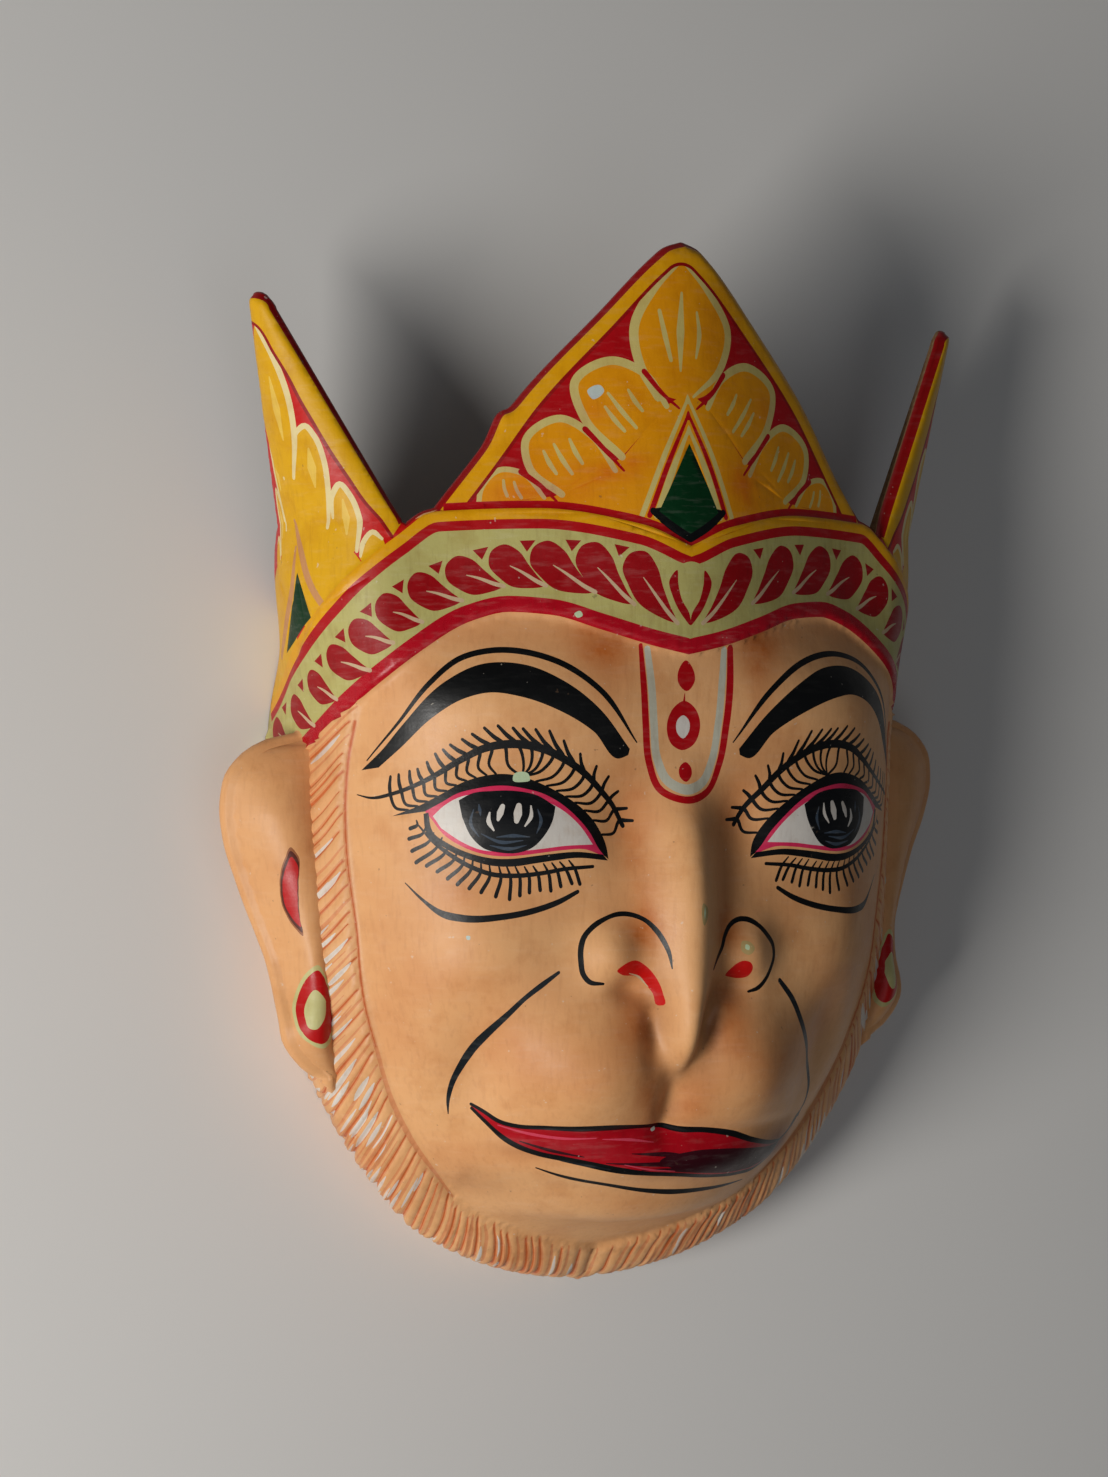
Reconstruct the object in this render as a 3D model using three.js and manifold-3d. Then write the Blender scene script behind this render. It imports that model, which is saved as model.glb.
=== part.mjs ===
// Crowned monkey-face mask of painted papier-mache, a hollow shell lying face up on its open rim.
// Millimetres: +X to the viewer's right, +Y towards the crown, +Z out of the face, rim in the plane z = 0.
import * as THREE from "three";
import Module from "manifold-3d";

const wasm = await Module();
wasm.setup();

// Main sizes
const WALL = 4;
// The wall thins to this at the crown's cut edge, over this height below it
const EDGE_WALL = 2;
const EDGE_TAPER = 14;
// Share of the outside's forms that shows on the inside
const INSIDE_FORM = 0.8;
const CHIN_Y = -156;
const JAW_Y = -50;
const FRONT_PEAK_Y = 156;
const SIDE_PEAK_Y = 139.5;
const VALLEY_Y = 77;
// Girth of one half of the sheet, from the centre line to the rim
const HALF_GIRTH = 160;

// Half width at the rim, and depth in front of the rim, at heights on the face: [height, size]
const HALF_WIDTHS = [
  [CHIN_Y, 0], [-154.6, 12], [-151.5, 23], [-144, 39], [-131, 54], [-114, 69],
  [-101, 78], [-83, 87], [JAW_Y, 95], [0, 97], [60, 95], [FRONT_PEAK_Y, 95],
];
const DEPTHS = [
  [CHIN_Y, 0], [-153, 8], [-146, 22], [-135, 41], [-128, 54], [-121, 62],
  [-112, 68], [-97, 74], [-75, 79], [JAW_Y, 82], [0, 85], [40, 87], [74, 88], [FRONT_PEAK_Y, 82],
];
// Squareness of the face's level section: 2 is an ellipse
const SQUARENESS = [[CHIN_Y, 2], [-128, 2.2], [-100, 2.3], [-40, 2.6], [0, 2.8]];

// Crown: a softly ridged front plate, and a round side plate under each side peak
const CROWN_STARTS_Y = 12;
const CROWN_FULL_Y = 62;
const RIDGE_HALF = 20;
const RIDGE_FALL = 0.45;
const SIDE_RADIUS = 37;
const SIDE_CENTRE_X = 65.5;
const SIDE_CENTRE_Z = 28;
const VALLEY_X = 72.7;
const VALLEY_ANGLE = 8;
const PEAK_ANGLE = 77;
const VALLEY_GIRTH = 77;
// Girth over which the side plate eases from the front plate's end to its own round
const VALLEY_BLEND = 20;
const PEAK_GIRTH = 120.7;
// Girth from a side peak's middle line to its foot, in front of it and behind it
const SIDE_PEAK_HALF = 35.2;
const SIDE_PEAK_REAR = 15.2;
// Above this height each side peak leans out and narrows to a point
const LEAN_Y = 74;
// A difference in height too small to matter
const HAIR = 0.01;
const SIDE_APEX = [119.2, 148, 39.6];
// Height of the crown's cut edge where it comes down to the rim behind the side peaks
const REAR_EDGE_Y = 48;

// Girth and height along the edges of the crown band, and along the front peak's edge
const FRONT_PEAK_HALF = 74;
// The front peak's tip stands this much to the viewer's right of the middle
const TIP_SHIFT = 2;
const BAND_LOW = [
  [0, 35.5], [12, 38], [28, 42.5], [42, 46.5], [54, 47.3], [64, 45], [82, 35.5], [106, 21], [141, 1],
  [HALF_GIRTH, -6],
];
const BAND_TOP = [
  [0, 67], [15, 73], [45, 77.5], [74, 76.5], [87, 69.5], [104, 56], [130, 34], [HALF_GIRTH, 12],
];
const FRONT_PEAK_EDGE = [
  [0, FRONT_PEAK_Y], [5, 154.6], [10, 151], [27, 134], [48, 112], [62, 93], [FRONT_PEAK_HALF, VALLEY_Y],
];
const BAND_RAISE = 1.8;
// The crown over the band stands this much over the face's sheet
const CROWN_RAISE = 1;
// Height that a painted edge's step takes up
const STEP_HEIGHT = 1.5;

// Nose, from brow to point: height of its ridge over the face, and its half breadth
const NOSE_RIDGE = [
  [-92, 0], [-87, 1.5], [-83, 4.5], [-78, 8], [-72, 10.5], [-60, 12.5], [-40, 12], [-20, 8], [-4, 2], [8, 0],
];
const NOSE_BREADTH = [[-92, 5], [-80, 6], [-66, 8.5], [-58, 10.5], [-42, 11.5], [-15, 9.5], [8, 8]];

// Rounded forms on each half of the face: girth, height, reach across, reach up, outward
const FACE_FORMS = [
  { name: "brow", at: [54, 24], reach: [34, 13], raise: 3.5 },
  { name: "eyeball", at: [56, -14], reach: [23, 12], raise: 3.2 },
  { name: "eye socket by the nose", at: [20, -14], reach: [9, 12], raise: -3 },
  { name: "nostril wing", at: [24, -51], reach: [9.5, 9.5], raise: 5.5 },
  { name: "nostril", at: [18, -61.5], reach: [7, 3.5], raise: -3 },
  { name: "muzzle lobe", at: [25, -86], reach: [23, 20], raise: 10 },
  { name: "cheek", at: [66, -50], reach: [20, 20], raise: 3.5 },
  { name: "cheek hollow", at: [66, -84], reach: [11, 18], raise: -3 },
];
const CENTRE_FORMS = [
  { name: "lip groove under the nose", at: [0, -97], reach: [5, 9], raise: -3.5 },
  { name: "mouth line", at: [0, -105.5], reach: [52, 2.6], raise: -1.8 },
  { name: "lower lip", at: [0, -115], reach: [42, 7], raise: 4.5 },
  { name: "chin", at: [0, -133], reach: [34, 13], raise: 5 },
];

// Beard ruff: its inner edge as girth fraction at heights of the sheet, its raise, and its locks
const RUFF_INNER = [
  [-170, 0], [-167, 0.11], [-163, 0.28], [-157, 0.42], [-152, 0.49], [-145, 0.56], [-138, 0.605],
  [-129, 0.635], [-118, 0.652], [-107, 0.668], [-94, 0.68], [-81, 0.677], [JAW_Y, 0.68],
  [-23, 0.69], [-8, 0.694], [3, 0.688], [18, 0.66], [30, 0.63],
];
const RUFF_RAISE = 2.4;
// Girth fraction over which the ruff rises from the cheek, and how much of it lies before the inner edge
const RUFF_RISE = 0.07;
const RUFF_LEAD = 0.021;
const LOCK_RAISE = 1.1;
const LOCK_PITCH = 14;
// Height that a lock gains for each millimetre of girth
const LOCK_SLANT = 0.55;
// Under the jaw the ruff swells out, wall and all: swell at distances along a ring round the face, from the chin
const RUFF_SWELL = [[0, 4], [40, 5.5], [90, 8], [130, 7.5], [170, 5.5], [200, 4], [235, 0]];
// Place across the ruff of its greatest swell, from its inner edge (0) to the rim (1)
const SWELL_PLACE = 0.45;
const RING_CENTRE_V = -40;
const RING_RADIUS = 120;
const RING_STEPS = 100;

// Ears: outer edge across from the centre line at heights, and how the ear sits on the wall
const EAR_EDGE = [
  [-88, 86], [-83, 96.5], [-74, 102.4], [-63, 103], [-54, 104.3], [-47, 106.5], [-38, 109.8],
  [-29, 113], [-18, 116.8], [-9, 118.2], [-2, 117.5], [3.5, 114], [8, 107], [10, 98],
];
// Height of the outer edge over the rim's plane, at heights on the ear
const EAR_EDGE_Z = [[-88, 30], [-74, 30.5], [-63, 26], [-48, 22], [-29, 20], [-9, 22], [10, 24]];
// The right ear was stuck on this much higher than the left one
const RIGHT_EAR_LIFT = 6;
const EAR_ROWS = 16;
// Root of the ear's front face on the wall, as girth fraction at heights on the ear
const EAR_FRONT_GIRTH = [[-88, 0.775], [-77, 0.768], [-60, 0.75], [-30, 0.755], [-10, 0.775], [10, 0.785]];
const EAR_BACK_GIRTH = 0.925;
const EAR_EDGE_HALF = 3;
// The ear stands out at least this much from its root
const EAR_LEAST = 4;
// How far the front face bulges, at heights on the ear
const EAR_BULGE = [[-88, 0], [-77, 4.5], [-66, 6], [-14, 6], [-3, 4], [10, 0]];
// Places across the ear, from root to edge, of the points of its front face and of its back face
const EAR_FRONT_PLACES = [0.2, 0.5, 0.8];
const EAR_BACK_PLACE = 0.55;
// Places of the root's points inside the wall, from the back face round to the front face
const EAR_ROOT_PLACES = [0.25, 0.5, 0.75];

// Steps of the faceted sheet on each half, and up it. All are even: the inside takes every second line
const STEPS = { front: 14, valley: 2, sideFront: 6, sideBack: 4, rearEdge: 4 };
const ROWS = { jaw: 22, face: 16, band: 6, crown: 8 };
// Steps used to measure the length of a level section, and of the centre profile under the jaw
const SECTION_STEPS = 120;
const PROFILE_STEPS = 200;
// A section smaller than this takes less than the whole wall, so that the inside closes with the outside
const FULL_WALL_SIZE = 60;

// Smooth curve through [position, value] keys that never overshoots them
function through(keys) {
  const slopes = [];
  for (let i = 0; i < keys.length - 1; i += 1) {
    slopes.push((keys[i + 1][1] - keys[i][1]) / (keys[i + 1][0] - keys[i][0]));
  }
  const tangents = keys.map((_, i) => {
    const before = slopes[Math.max(i - 1, 0)];
    const after = slopes[Math.min(i, slopes.length - 1)];
    return before * after <= 0 ? 0 : (2 * before * after) / (before + after);
  });
  return (position) => {
    const last = keys.length - 1;
    const p = Math.min(Math.max(position, keys[0][0]), keys[last][0]);
    let i = 0;
    while (i < last - 1 && p > keys[i + 1][0]) i += 1;
    const span = keys[i + 1][0] - keys[i][0];
    const t = (p - keys[i][0]) / span;
    const rise = t * t * (3 - 2 * t);
    const bend = span * (t * (1 - t) ** 2 * tangents[i] - t * t * (1 - t) * tangents[i + 1]);
    return keys[i][1] * (1 - rise) + keys[i + 1][1] * rise + bend;
  };
}

// 0 below low, 1 above high, smooth between
function ease(low, high, value) {
  const t = Math.min(Math.max((value - low) / (high - low), 0), 1);
  return t * t * (3 - 2 * t);
}

const halfWidth = through(HALF_WIDTHS);
const depth = through(DEPTHS);
const squareness = through(SQUARENESS);
const bandLow = through(BAND_LOW);
const bandTop = through(BAND_TOP);
const frontPeakEdge = through(FRONT_PEAK_EDGE);
const noseRidge = through(NOSE_RIDGE);
const noseBreadth = through(NOSE_BREADTH);
const ruffInner = through(RUFF_INNER);
const swellAlong = through(RUFF_SWELL);
const earEdge = through(EAR_EDGE);
const earEdgeZ = through(EAR_EDGE_Z);
const earFrontGirth = through(EAR_FRONT_GIRTH);
const earBulge = through(EAR_BULGE);

// Running length along a line of points, one total for each point
function runningLength(points) {
  const lengths = [0];
  for (let i = 1; i < points.length; i += 1) {
    const step = Math.hypot(points[i][0] - points[i - 1][0], points[i][1] - points[i - 1][1]);
    lengths.push(lengths[i - 1] + step);
  }
  return lengths;
}

// Value at a position between listed positions, in straight steps
function between(position, positions, values) {
  let i = 0;
  while (i < positions.length - 2 && position > positions[i + 1]) i += 1;
  const t = (position - positions[i]) / (positions[i + 1] - positions[i]);
  const u = Math.min(Math.max(t, 0), 1);
  return values[i] + (values[i + 1] - values[i]) * u;
}

// A section's size less the wall, never quite nothing
function lessWall(size, inset) {
  return Math.max(size - inset * Math.min(1, size / FULL_WALL_SIZE), 0.001);
}

// Level section of the face, from the front to the rim: half of a superellipse
const sectionCache = new Map();
function faceSection(y, inset) {
  const key = `${y.toFixed(4)}/${inset}`;
  if (!sectionCache.has(key)) {
    const w = lessWall(halfWidth(y), inset);
    const d = lessWall(depth(y), inset);
    const n = squareness(y);
    const points = [];
    for (let i = 0; i < SECTION_STEPS; i += 1) {
      const a = (Math.PI / 2) * (i / SECTION_STEPS);
      const r = ((Math.sin(a) / w) ** n + (Math.cos(a) / d) ** n) ** (-1 / n);
      points.push([r * Math.sin(a), r * Math.cos(a)]);
    }
    points.push([w, 0]);
    const lengths = runningLength(points);
    sectionCache.set(key, { points, lengths, total: lengths[SECTION_STEPS] });
  }
  return sectionCache.get(key);
}

function facePoint(fraction, y, inset) {
  const section = faceSection(y, inset);
  const along = fraction * section.total;
  return [
    between(along, section.lengths, section.points.map((p) => p[0])),
    between(along, section.lengths, section.points.map((p) => p[1])),
  ];
}

// Level section of the crown: ridged front plate to the valley, then the round side plate to the rim
function crownPoint(fraction, y, inset) {
  const girth = fraction * HALF_GIRTH;
  const frontX = VALLEY_X * Math.min(1, girth / VALLEY_GIRTH);
  const frontZ = depth(y) - inset - RIDGE_FALL * (Math.hypot(RIDGE_HALF, frontX) - RIDGE_HALF);
  if (girth < VALLEY_GIRTH) {
    return [frontX, frontZ];
  }
  const radius = SIDE_RADIUS - inset;
  const rimAngle = THREE.MathUtils.radToDeg(Math.acos(-SIDE_CENTRE_Z / radius));
  const angle = girth < PEAK_GIRTH
    ? VALLEY_ANGLE + ((PEAK_ANGLE - VALLEY_ANGLE) * (girth - VALLEY_GIRTH)) / (PEAK_GIRTH - VALLEY_GIRTH)
    : PEAK_ANGLE + ((rimAngle - PEAK_ANGLE) * (girth - PEAK_GIRTH)) / (HALF_GIRTH - PEAK_GIRTH);
  const onPlate = (degrees) => {
    const a = THREE.MathUtils.degToRad(degrees);
    return [SIDE_CENTRE_X + radius * Math.sin(a), SIDE_CENTRE_Z + radius * Math.cos(a)];
  };
  // The side plate starts where the front plate ends and eases back to its own round
  const [startX, startZ] = onPlate(VALLEY_ANGLE);
  const [x, z] = onPlate(angle);
  const held = 1 - ease(VALLEY_GIRTH, VALLEY_GIRTH + VALLEY_BLEND, girth);
  return [x + held * (frontX - startX), z + held * (frontZ - startZ)];
}

// Under the jaw the sheet's height runs along the centre profile, not straight down
const jawLevels = Array.from({ length: PROFILE_STEPS + 1 }, (_, i) => (
  JAW_Y + (CHIN_Y - JAW_Y) * Math.sin((Math.PI / 2) * (i / PROFILE_STEPS))
));
const jawLengths = runningLength(jawLevels.map((y) => [y, depth(y)]));
const jawGirths = jawLevels.map((y) => (HALF_GIRTH * faceSection(y, 0).total) / faceSection(JAW_Y, 0).total);
const SHEET_BOTTOM = JAW_Y - jawLengths[PROFILE_STEPS];

function levelOf(v) {
  return v >= JAW_Y ? v : between(JAW_Y - v, jawLengths, jawLevels);
}

function halfGirth(v) {
  return v >= JAW_Y ? HALF_GIRTH : between(JAW_Y - v, jawLengths, jawGirths);
}

// Point of the smooth sheet at a girth and height; inset moves it inside by the wall
function sheetPoint(girth, v, inset) {
  const side = Math.abs(girth);
  const leaning = side > VALLEY_GIRTH && v > LEAN_Y;
  const lean = leaning ? (v - LEAN_Y) / (SIDE_APEX[1] - LEAN_Y) : 0;
  const foot = leaning ? PEAK_GIRTH + (side - PEAK_GIRTH) / (1 - lean) : side;
  const fraction = Math.min(Math.max(foot / halfGirth(v), 0), 1);
  const y = leaning ? LEAN_Y : levelOf(v);
  const jawScale = (JAW_Y - CHIN_Y - inset) / (JAW_Y - CHIN_Y);
  const ownY = y < JAW_Y ? JAW_Y + (y - JAW_Y) * jawScale : y;
  const [faceX, faceZ] = facePoint(fraction, y, inset);
  const blend = ease(CROWN_STARTS_Y, CROWN_FULL_Y, y);
  const [crownX, crownZ] = blend > 0 ? crownPoint(fraction, y, inset) : [0, 0];
  const ridge = THREE.MathUtils.degToRad(PEAK_ANGLE);
  const x = THREE.MathUtils.lerp(faceX, crownX, blend);
  const z = THREE.MathUtils.lerp(faceZ, crownZ, blend);
  return new THREE.Vector3(
    Math.sign(girth) * THREE.MathUtils.lerp(x, SIDE_APEX[0] - inset * Math.sin(ridge), lean),
    THREE.MathUtils.lerp(ownY, SIDE_APEX[1], lean),
    THREE.MathUtils.lerp(z, SIDE_APEX[2] - inset * Math.cos(ridge), lean),
  );
}

// Outward direction of the smooth sheet
function outward(girth, v) {
  const step = 0.5;
  const limit = halfGirth(v);
  const left = sheetPoint(Math.max(girth - step, -limit), v, 0);
  const right = sheetPoint(Math.min(girth + step, limit), v, 0);
  const fraction = girth / limit;
  const above = sheetPoint(fraction * halfGirth(v + step), v + step, 0);
  const below = sheetPoint(fraction * halfGirth(v - step), v - step, 0);
  return right.sub(left).cross(above.sub(below)).normalize();
}

// Rounded form: falls off smoothly round its middle
function formRaise(form, across, v) {
  const u = (across - form.at[0]) / form.reach[0];
  const w = (v - form.at[1]) / form.reach[1];
  return form.raise * Math.exp(-(u * u) - w * w);
}

// Large moulded forms, that the inside follows too
function mouldedRaise(girth, v) {
  const across = Math.abs(girth);
  let raise = 0;
  for (const form of [...FACE_FORMS, ...CENTRE_FORMS]) {
    raise += formRaise(form, across, v);
  }
  raise += noseRidge(v) * Math.exp(-((across / noseBreadth(v)) ** 2));
  return raise;
}

// Ruff of beard round the face: a raised belt of slanting locks between its inner edge and the rim
function ruffRaise(girth, v) {
  if (v > bandLow(Math.abs(girth))) {
    return 0;
  }
  const fraction = Math.abs(girth) / halfGirth(v);
  const starts = ruffInner(v) - RUFF_LEAD;
  const across = v < RUFF_INNER[0][0] ? 1 : ease(starts, starts + RUFF_RISE, fraction);
  const along = v + Math.abs(girth) * LOCK_SLANT;
  const lock = 1 - Math.abs(Math.sin((Math.PI * along) / LOCK_PITCH));
  return across * (RUFF_RAISE - LOCK_RAISE * lock);
}

// Distance of an edge of the ruff from the face's middle, at a turn about it
function ringEdge(edgeAt, lowest) {
  const turns = [];
  const radii = [];
  for (let i = RING_STEPS; i >= 0; i -= 1) {
    const v = THREE.MathUtils.lerp(RING_CENTRE_V, lowest, i / RING_STEPS);
    turns.push(Math.atan2(edgeAt(v), RING_CENTRE_V - v));
    radii.push(Math.hypot(edgeAt(v), RING_CENTRE_V - v));
  }
  return (turn) => between(turn, turns, radii);
}

const ringInner = ringEdge((v) => ruffInner(v) * halfGirth(v), RUFF_INNER[0][0]);
const ringRim = ringEdge(halfGirth, SHEET_BOTTOM);

// Swell of the ruff under the jaw and beside it
function ruffSwell(girth, v) {
  const side = Math.abs(girth);
  if (v > bandLow(side)) {
    return 0;
  }
  let along = (RING_RADIUS * Math.PI) / 2 + v - RING_CENTRE_V;
  let place = (side / halfGirth(v) - ruffInner(v)) / (1 - ruffInner(v));
  if (v < RING_CENTRE_V) {
    const turn = Math.atan2(side, RING_CENTRE_V - v);
    const inner = ringInner(turn);
    along = RING_RADIUS * turn;
    place = (Math.hypot(side, RING_CENTRE_V - v) - inner) / (ringRim(turn) - inner);
  }
  return swellAlong(along) * ease(0, SWELL_PLACE, place) * (1 - ease(SWELL_PLACE, 1, place));
}

// Raised crown band, and the crown over it
function bandRaise(girth, v) {
  const across = Math.abs(girth);
  const aboveLow = v - bandLow(across) + STEP_HEIGHT / 2;
  const aboveTop = v - bandTop(across) + STEP_HEIGHT / 2;
  return BAND_RAISE * ease(0, STEP_HEIGHT, aboveLow)
    - (BAND_RAISE - CROWN_RAISE) * ease(0, STEP_HEIGHT, aboveTop);
}

// Height of the crown's cut edge at a girth: front peak, valley, side peak with a blunt tip, rim
function crownEdge(girth) {
  const across = Math.abs(girth);
  if (across <= FRONT_PEAK_HALF) {
    return frontPeakEdge(Math.abs(girth - TIP_SHIFT * (1 - across / FRONT_PEAK_HALF)));
  }
  const rearFoot = PEAK_GIRTH + SIDE_PEAK_REAR;
  if (across >= rearFoot) {
    return THREE.MathUtils.mapLinear(across, rearFoot, HALF_GIRTH, LEAN_Y, REAR_EDGE_Y);
  }
  const half = across < PEAK_GIRTH ? SIDE_PEAK_HALF : SIDE_PEAK_REAR;
  const edge = THREE.MathUtils.lerp(SIDE_APEX[1], LEAN_Y, Math.abs(across - PEAK_GIRTH) / half);
  return Math.max(Math.min(edge, SIDE_PEAK_Y), bandTop(across));
}

// Girth of every line up the sheet, as signed fractions of the half girth
function sheetColumns() {
  const sideMarks = [PEAK_GIRTH - SIDE_PEAK_HALF, PEAK_GIRTH, PEAK_GIRTH + SIDE_PEAK_REAR];
  const marks = [0, FRONT_PEAK_HALF, ...sideMarks, HALF_GIRTH];
  const counts = Object.values(STEPS);
  const half = [0];
  counts.forEach((count, part) => {
    for (let i = 1; i <= count; i += 1) {
      half.push(THREE.MathUtils.lerp(marks[part], marks[part + 1], i / count) / HALF_GIRTH);
    }
  });
  return [...half.slice(1).reverse().map((f) => -f), ...half];
}

// Heights of one line up the sheet, from just over the chin's lowest point to the crown's edge
function columnHeights(fraction) {
  const girth = fraction * HALF_GIRTH;
  const low = bandLow(Math.abs(girth));
  const top = bandTop(Math.abs(girth));
  const half = STEP_HEIGHT / 2;
  const zones = [
    [SHEET_BOTTOM, JAW_Y, ROWS.jaw],
    [JAW_Y, low - half, ROWS.face],
    [low - half, low + half, 1],
    [low + half, top - half, ROWS.band - 1],
    [top - half, top + half, 1],
    [top + half, Math.max(crownEdge(girth), top + STEP_HEIGHT), ROWS.crown - 1],
  ];
  const heights = [];
  for (const [from, to, count] of zones) {
    for (let i = 1; i <= count; i += 1) {
      heights.push(THREE.MathUtils.lerp(from, to, i / count));
    }
  }
  return heights;
}

// The sheet's side edges lie flat on the rim's plane, up to where the side peaks lean out
function onRim(fraction, v, point) {
  if (Math.abs(fraction) === 1 && v < LEAN_Y + HAIR) {
    point.z = 0;
  }
  return point;
}

// Outside and inside points of the shell at one place
function outsidePoint(fraction, v) {
  const girth = fraction * halfGirth(v);
  const raise = mouldedRaise(girth, v) + ruffSwell(girth, v) + ruffRaise(girth, v) + bandRaise(girth, v);
  return onRim(fraction, v, sheetPoint(girth, v, 0).addScaledVector(outward(girth, v), raise));
}

function insidePoint(fraction, v) {
  const girth = fraction * halfGirth(v);
  const raise = INSIDE_FORM * mouldedRaise(girth, v) + ruffSwell(girth, v);
  const wall = THREE.MathUtils.lerp(EDGE_WALL, WALL, ease(0, EDGE_TAPER, crownEdge(girth) - v));
  return onRim(fraction, v, sheetPoint(girth, v, wall).addScaledVector(outward(girth, v), raise));
}

// Collects points and triangles of one closed body
class Body {
  constructor() {
    this.points = [];
    this.triangles = [];
  }

  add(point) {
    this.points.push(point.x, point.y, point.z);
    return this.points.length / 3 - 1;
  }

  triangle(a, b, c) {
    this.triangles.push(a, b, c);
  }

  quad(a, b, c, d) {
    this.triangle(a, b, c);
    this.triangle(a, c, d);
  }

  solid() {
    return new wasm.Manifold(new wasm.Mesh({
      numProp: 3,
      vertProperties: new Float32Array(this.points),
      triVerts: new Uint32Array(this.triangles),
    }));
  }
}

// One face of the sheet as a grid of point numbers, closed to one point under the chin
function sheetGrid(body, place, columns, heights, stride, faceOut) {
  const picked = columns.map((_, i) => i).filter((i) => i % stride === 0);
  const rows = heights[0].map((_, j) => j).filter((j) => (j + 1) % stride === 0);
  const chin = body.add(place(0, SHEET_BOTTOM));
  const grid = rows.map((j) => picked.map((i) => body.add(place(columns[i], heights[i][j]))));
  const cell = (a, b, c, d) => (faceOut ? body.quad(a, b, c, d) : body.quad(a, d, c, b));
  for (let i = 0; i < picked.length - 1; i += 1) {
    const [first, second] = faceOut ? [i + 1, i] : [i, i + 1];
    body.triangle(chin, grid[0][first], grid[0][second]);
    for (let j = 0; j < rows.length - 1; j += 1) {
      cell(grid[j][i], grid[j][i + 1], grid[j + 1][i + 1], grid[j + 1][i]);
    }
  }
  const right = grid.map((row) => row[row.length - 1]);
  const left = grid.map((row) => row[0]).reverse();
  const top = grid[grid.length - 1].slice(1, -1).reverse();
  return [chin, ...right, ...top, ...left];
}

// Edge between the two faces, where the inside has every second point of the outside
function closeEdge(body, outer, inner) {
  for (let k = 0; k < inner.length; k += 1) {
    const a = outer[2 * k];
    const b = outer[2 * k + 1];
    const c = outer[(2 * k + 2) % outer.length];
    const next = inner[(k + 1) % inner.length];
    body.triangle(a, inner[k], b);
    body.triangle(b, next, c);
    body.triangle(b, inner[k], next);
  }
}

function shellSolid() {
  const body = new Body();
  const columns = sheetColumns();
  const heights = columns.map(columnHeights);
  const outer = sheetGrid(body, outsidePoint, columns, heights, 1, true);
  const inner = sheetGrid(body, insidePoint, columns, heights, 2, false);
  closeEdge(body, outer, inner);
  return body.solid();
}

// Point halfway through the wall
function wallMiddle(fraction, v) {
  return outsidePoint(fraction, v).lerp(insidePoint(fraction, v), 0.5);
}

// Level section of one ear: softly bulging front face, rounded edge, flat back, root inside the wall
function earSection(side, v, lift) {
  const frontGirth = earFrontGirth(v - lift);
  const front = wallMiddle(side * frontGirth, v);
  const back = wallMiddle(side * EAR_BACK_GIRTH, v);
  const edgeX = Math.max(earEdge(v - lift), Math.abs(front.x) + EAR_LEAST);
  const edgeZ = earEdgeZ(v - lift);
  const edge = new THREE.Vector3(side * edgeX, front.y, edgeZ);
  const loop = [front];
  for (const t of EAR_FRONT_PLACES) {
    const point = front.clone().lerp(edge, t);
    point.z += EAR_EDGE_HALF * t + earBulge(v - lift) * Math.sin(Math.PI * t);
    loop.push(point);
  }
  for (const turn of [60, 0, -60]) {
    const a = THREE.MathUtils.degToRad(turn);
    const outwardBy = EAR_EDGE_HALF * (Math.cos(a) - 1) * side;
    loop.push(new THREE.Vector3(edge.x + outwardBy, edge.y, edgeZ + EAR_EDGE_HALF * Math.sin(a)));
  }
  loop.push(back.clone().lerp(edge, EAR_BACK_PLACE).add(new THREE.Vector3(0, 0, -EAR_EDGE_HALF / 2)));
  loop.push(back);
  for (const t of EAR_ROOT_PLACES) {
    loop.push(wallMiddle(side * THREE.MathUtils.lerp(EAR_BACK_GIRTH, frontGirth, t), v));
  }
  return side > 0 ? loop : loop.reverse();
}

function earSolid(side) {
  const body = new Body();
  const lift = side > 0 ? RIGHT_EAR_LIFT : 0;
  const low = EAR_EDGE[0][0] + lift;
  const high = EAR_EDGE[EAR_EDGE.length - 1][0] + lift;
  const rings = [];
  for (let j = 0; j <= EAR_ROWS; j += 1) {
    const v = low + ((high - low) * (1 - Math.cos((Math.PI * j) / EAR_ROWS))) / 2;
    rings.push(earSection(side, v, lift).map((point) => body.add(point)));
  }
  const count = rings[0].length;
  for (let j = 0; j < EAR_ROWS; j += 1) {
    for (let i = 0; i < count; i += 1) {
      const k = (i + 1) % count;
      body.quad(rings[j][i], rings[j][k], rings[j + 1][k], rings[j + 1][i]);
    }
  }
  for (let i = 1; i < count - 1; i += 1) {
    body.triangle(rings[0][0], rings[0][i + 1], rings[0][i]);
    body.triangle(rings[EAR_ROWS][0], rings[EAR_ROWS][i], rings[EAR_ROWS][i + 1]);
  }
  return body.solid();
}

function geometryOf(solid) {
  const mesh = solid.getMesh();
  const geometry = new THREE.BufferGeometry();
  geometry.setAttribute("position", new THREE.BufferAttribute(mesh.vertProperties, mesh.numProp));
  geometry.setIndex(new THREE.BufferAttribute(mesh.triVerts, 1));
  geometry.computeVertexNormals();
  return geometry;
}

function paintedPaper() {
  return new THREE.MeshStandardMaterial({
    name: "painted papier-mache",
    color: 0xdeaa78,
    roughness: 0.55,
    metalness: 0,
  });
}

function maskShell() {
  const solid = shellSolid().add(earSolid(1)).add(earSolid(-1));
  const mesh = new THREE.Mesh(geometryOf(solid), paintedPaper());
  mesh.name = "mask_shell";
  return mesh;
}

// The origin is the middle of the overall length and width, on the plane of the rim
function centred(mesh) {
  mesh.geometry.computeBoundingBox();
  const { min, max } = mesh.geometry.boundingBox;
  mesh.position.set(-(min.x + max.x) / 2, -(min.y + max.y) / 2, -min.z);
  return mesh;
}

const mask = new THREE.Group();
mask.add(centred(maskShell()));

export default mask;
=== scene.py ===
import math
import random
from functools import partial

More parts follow.
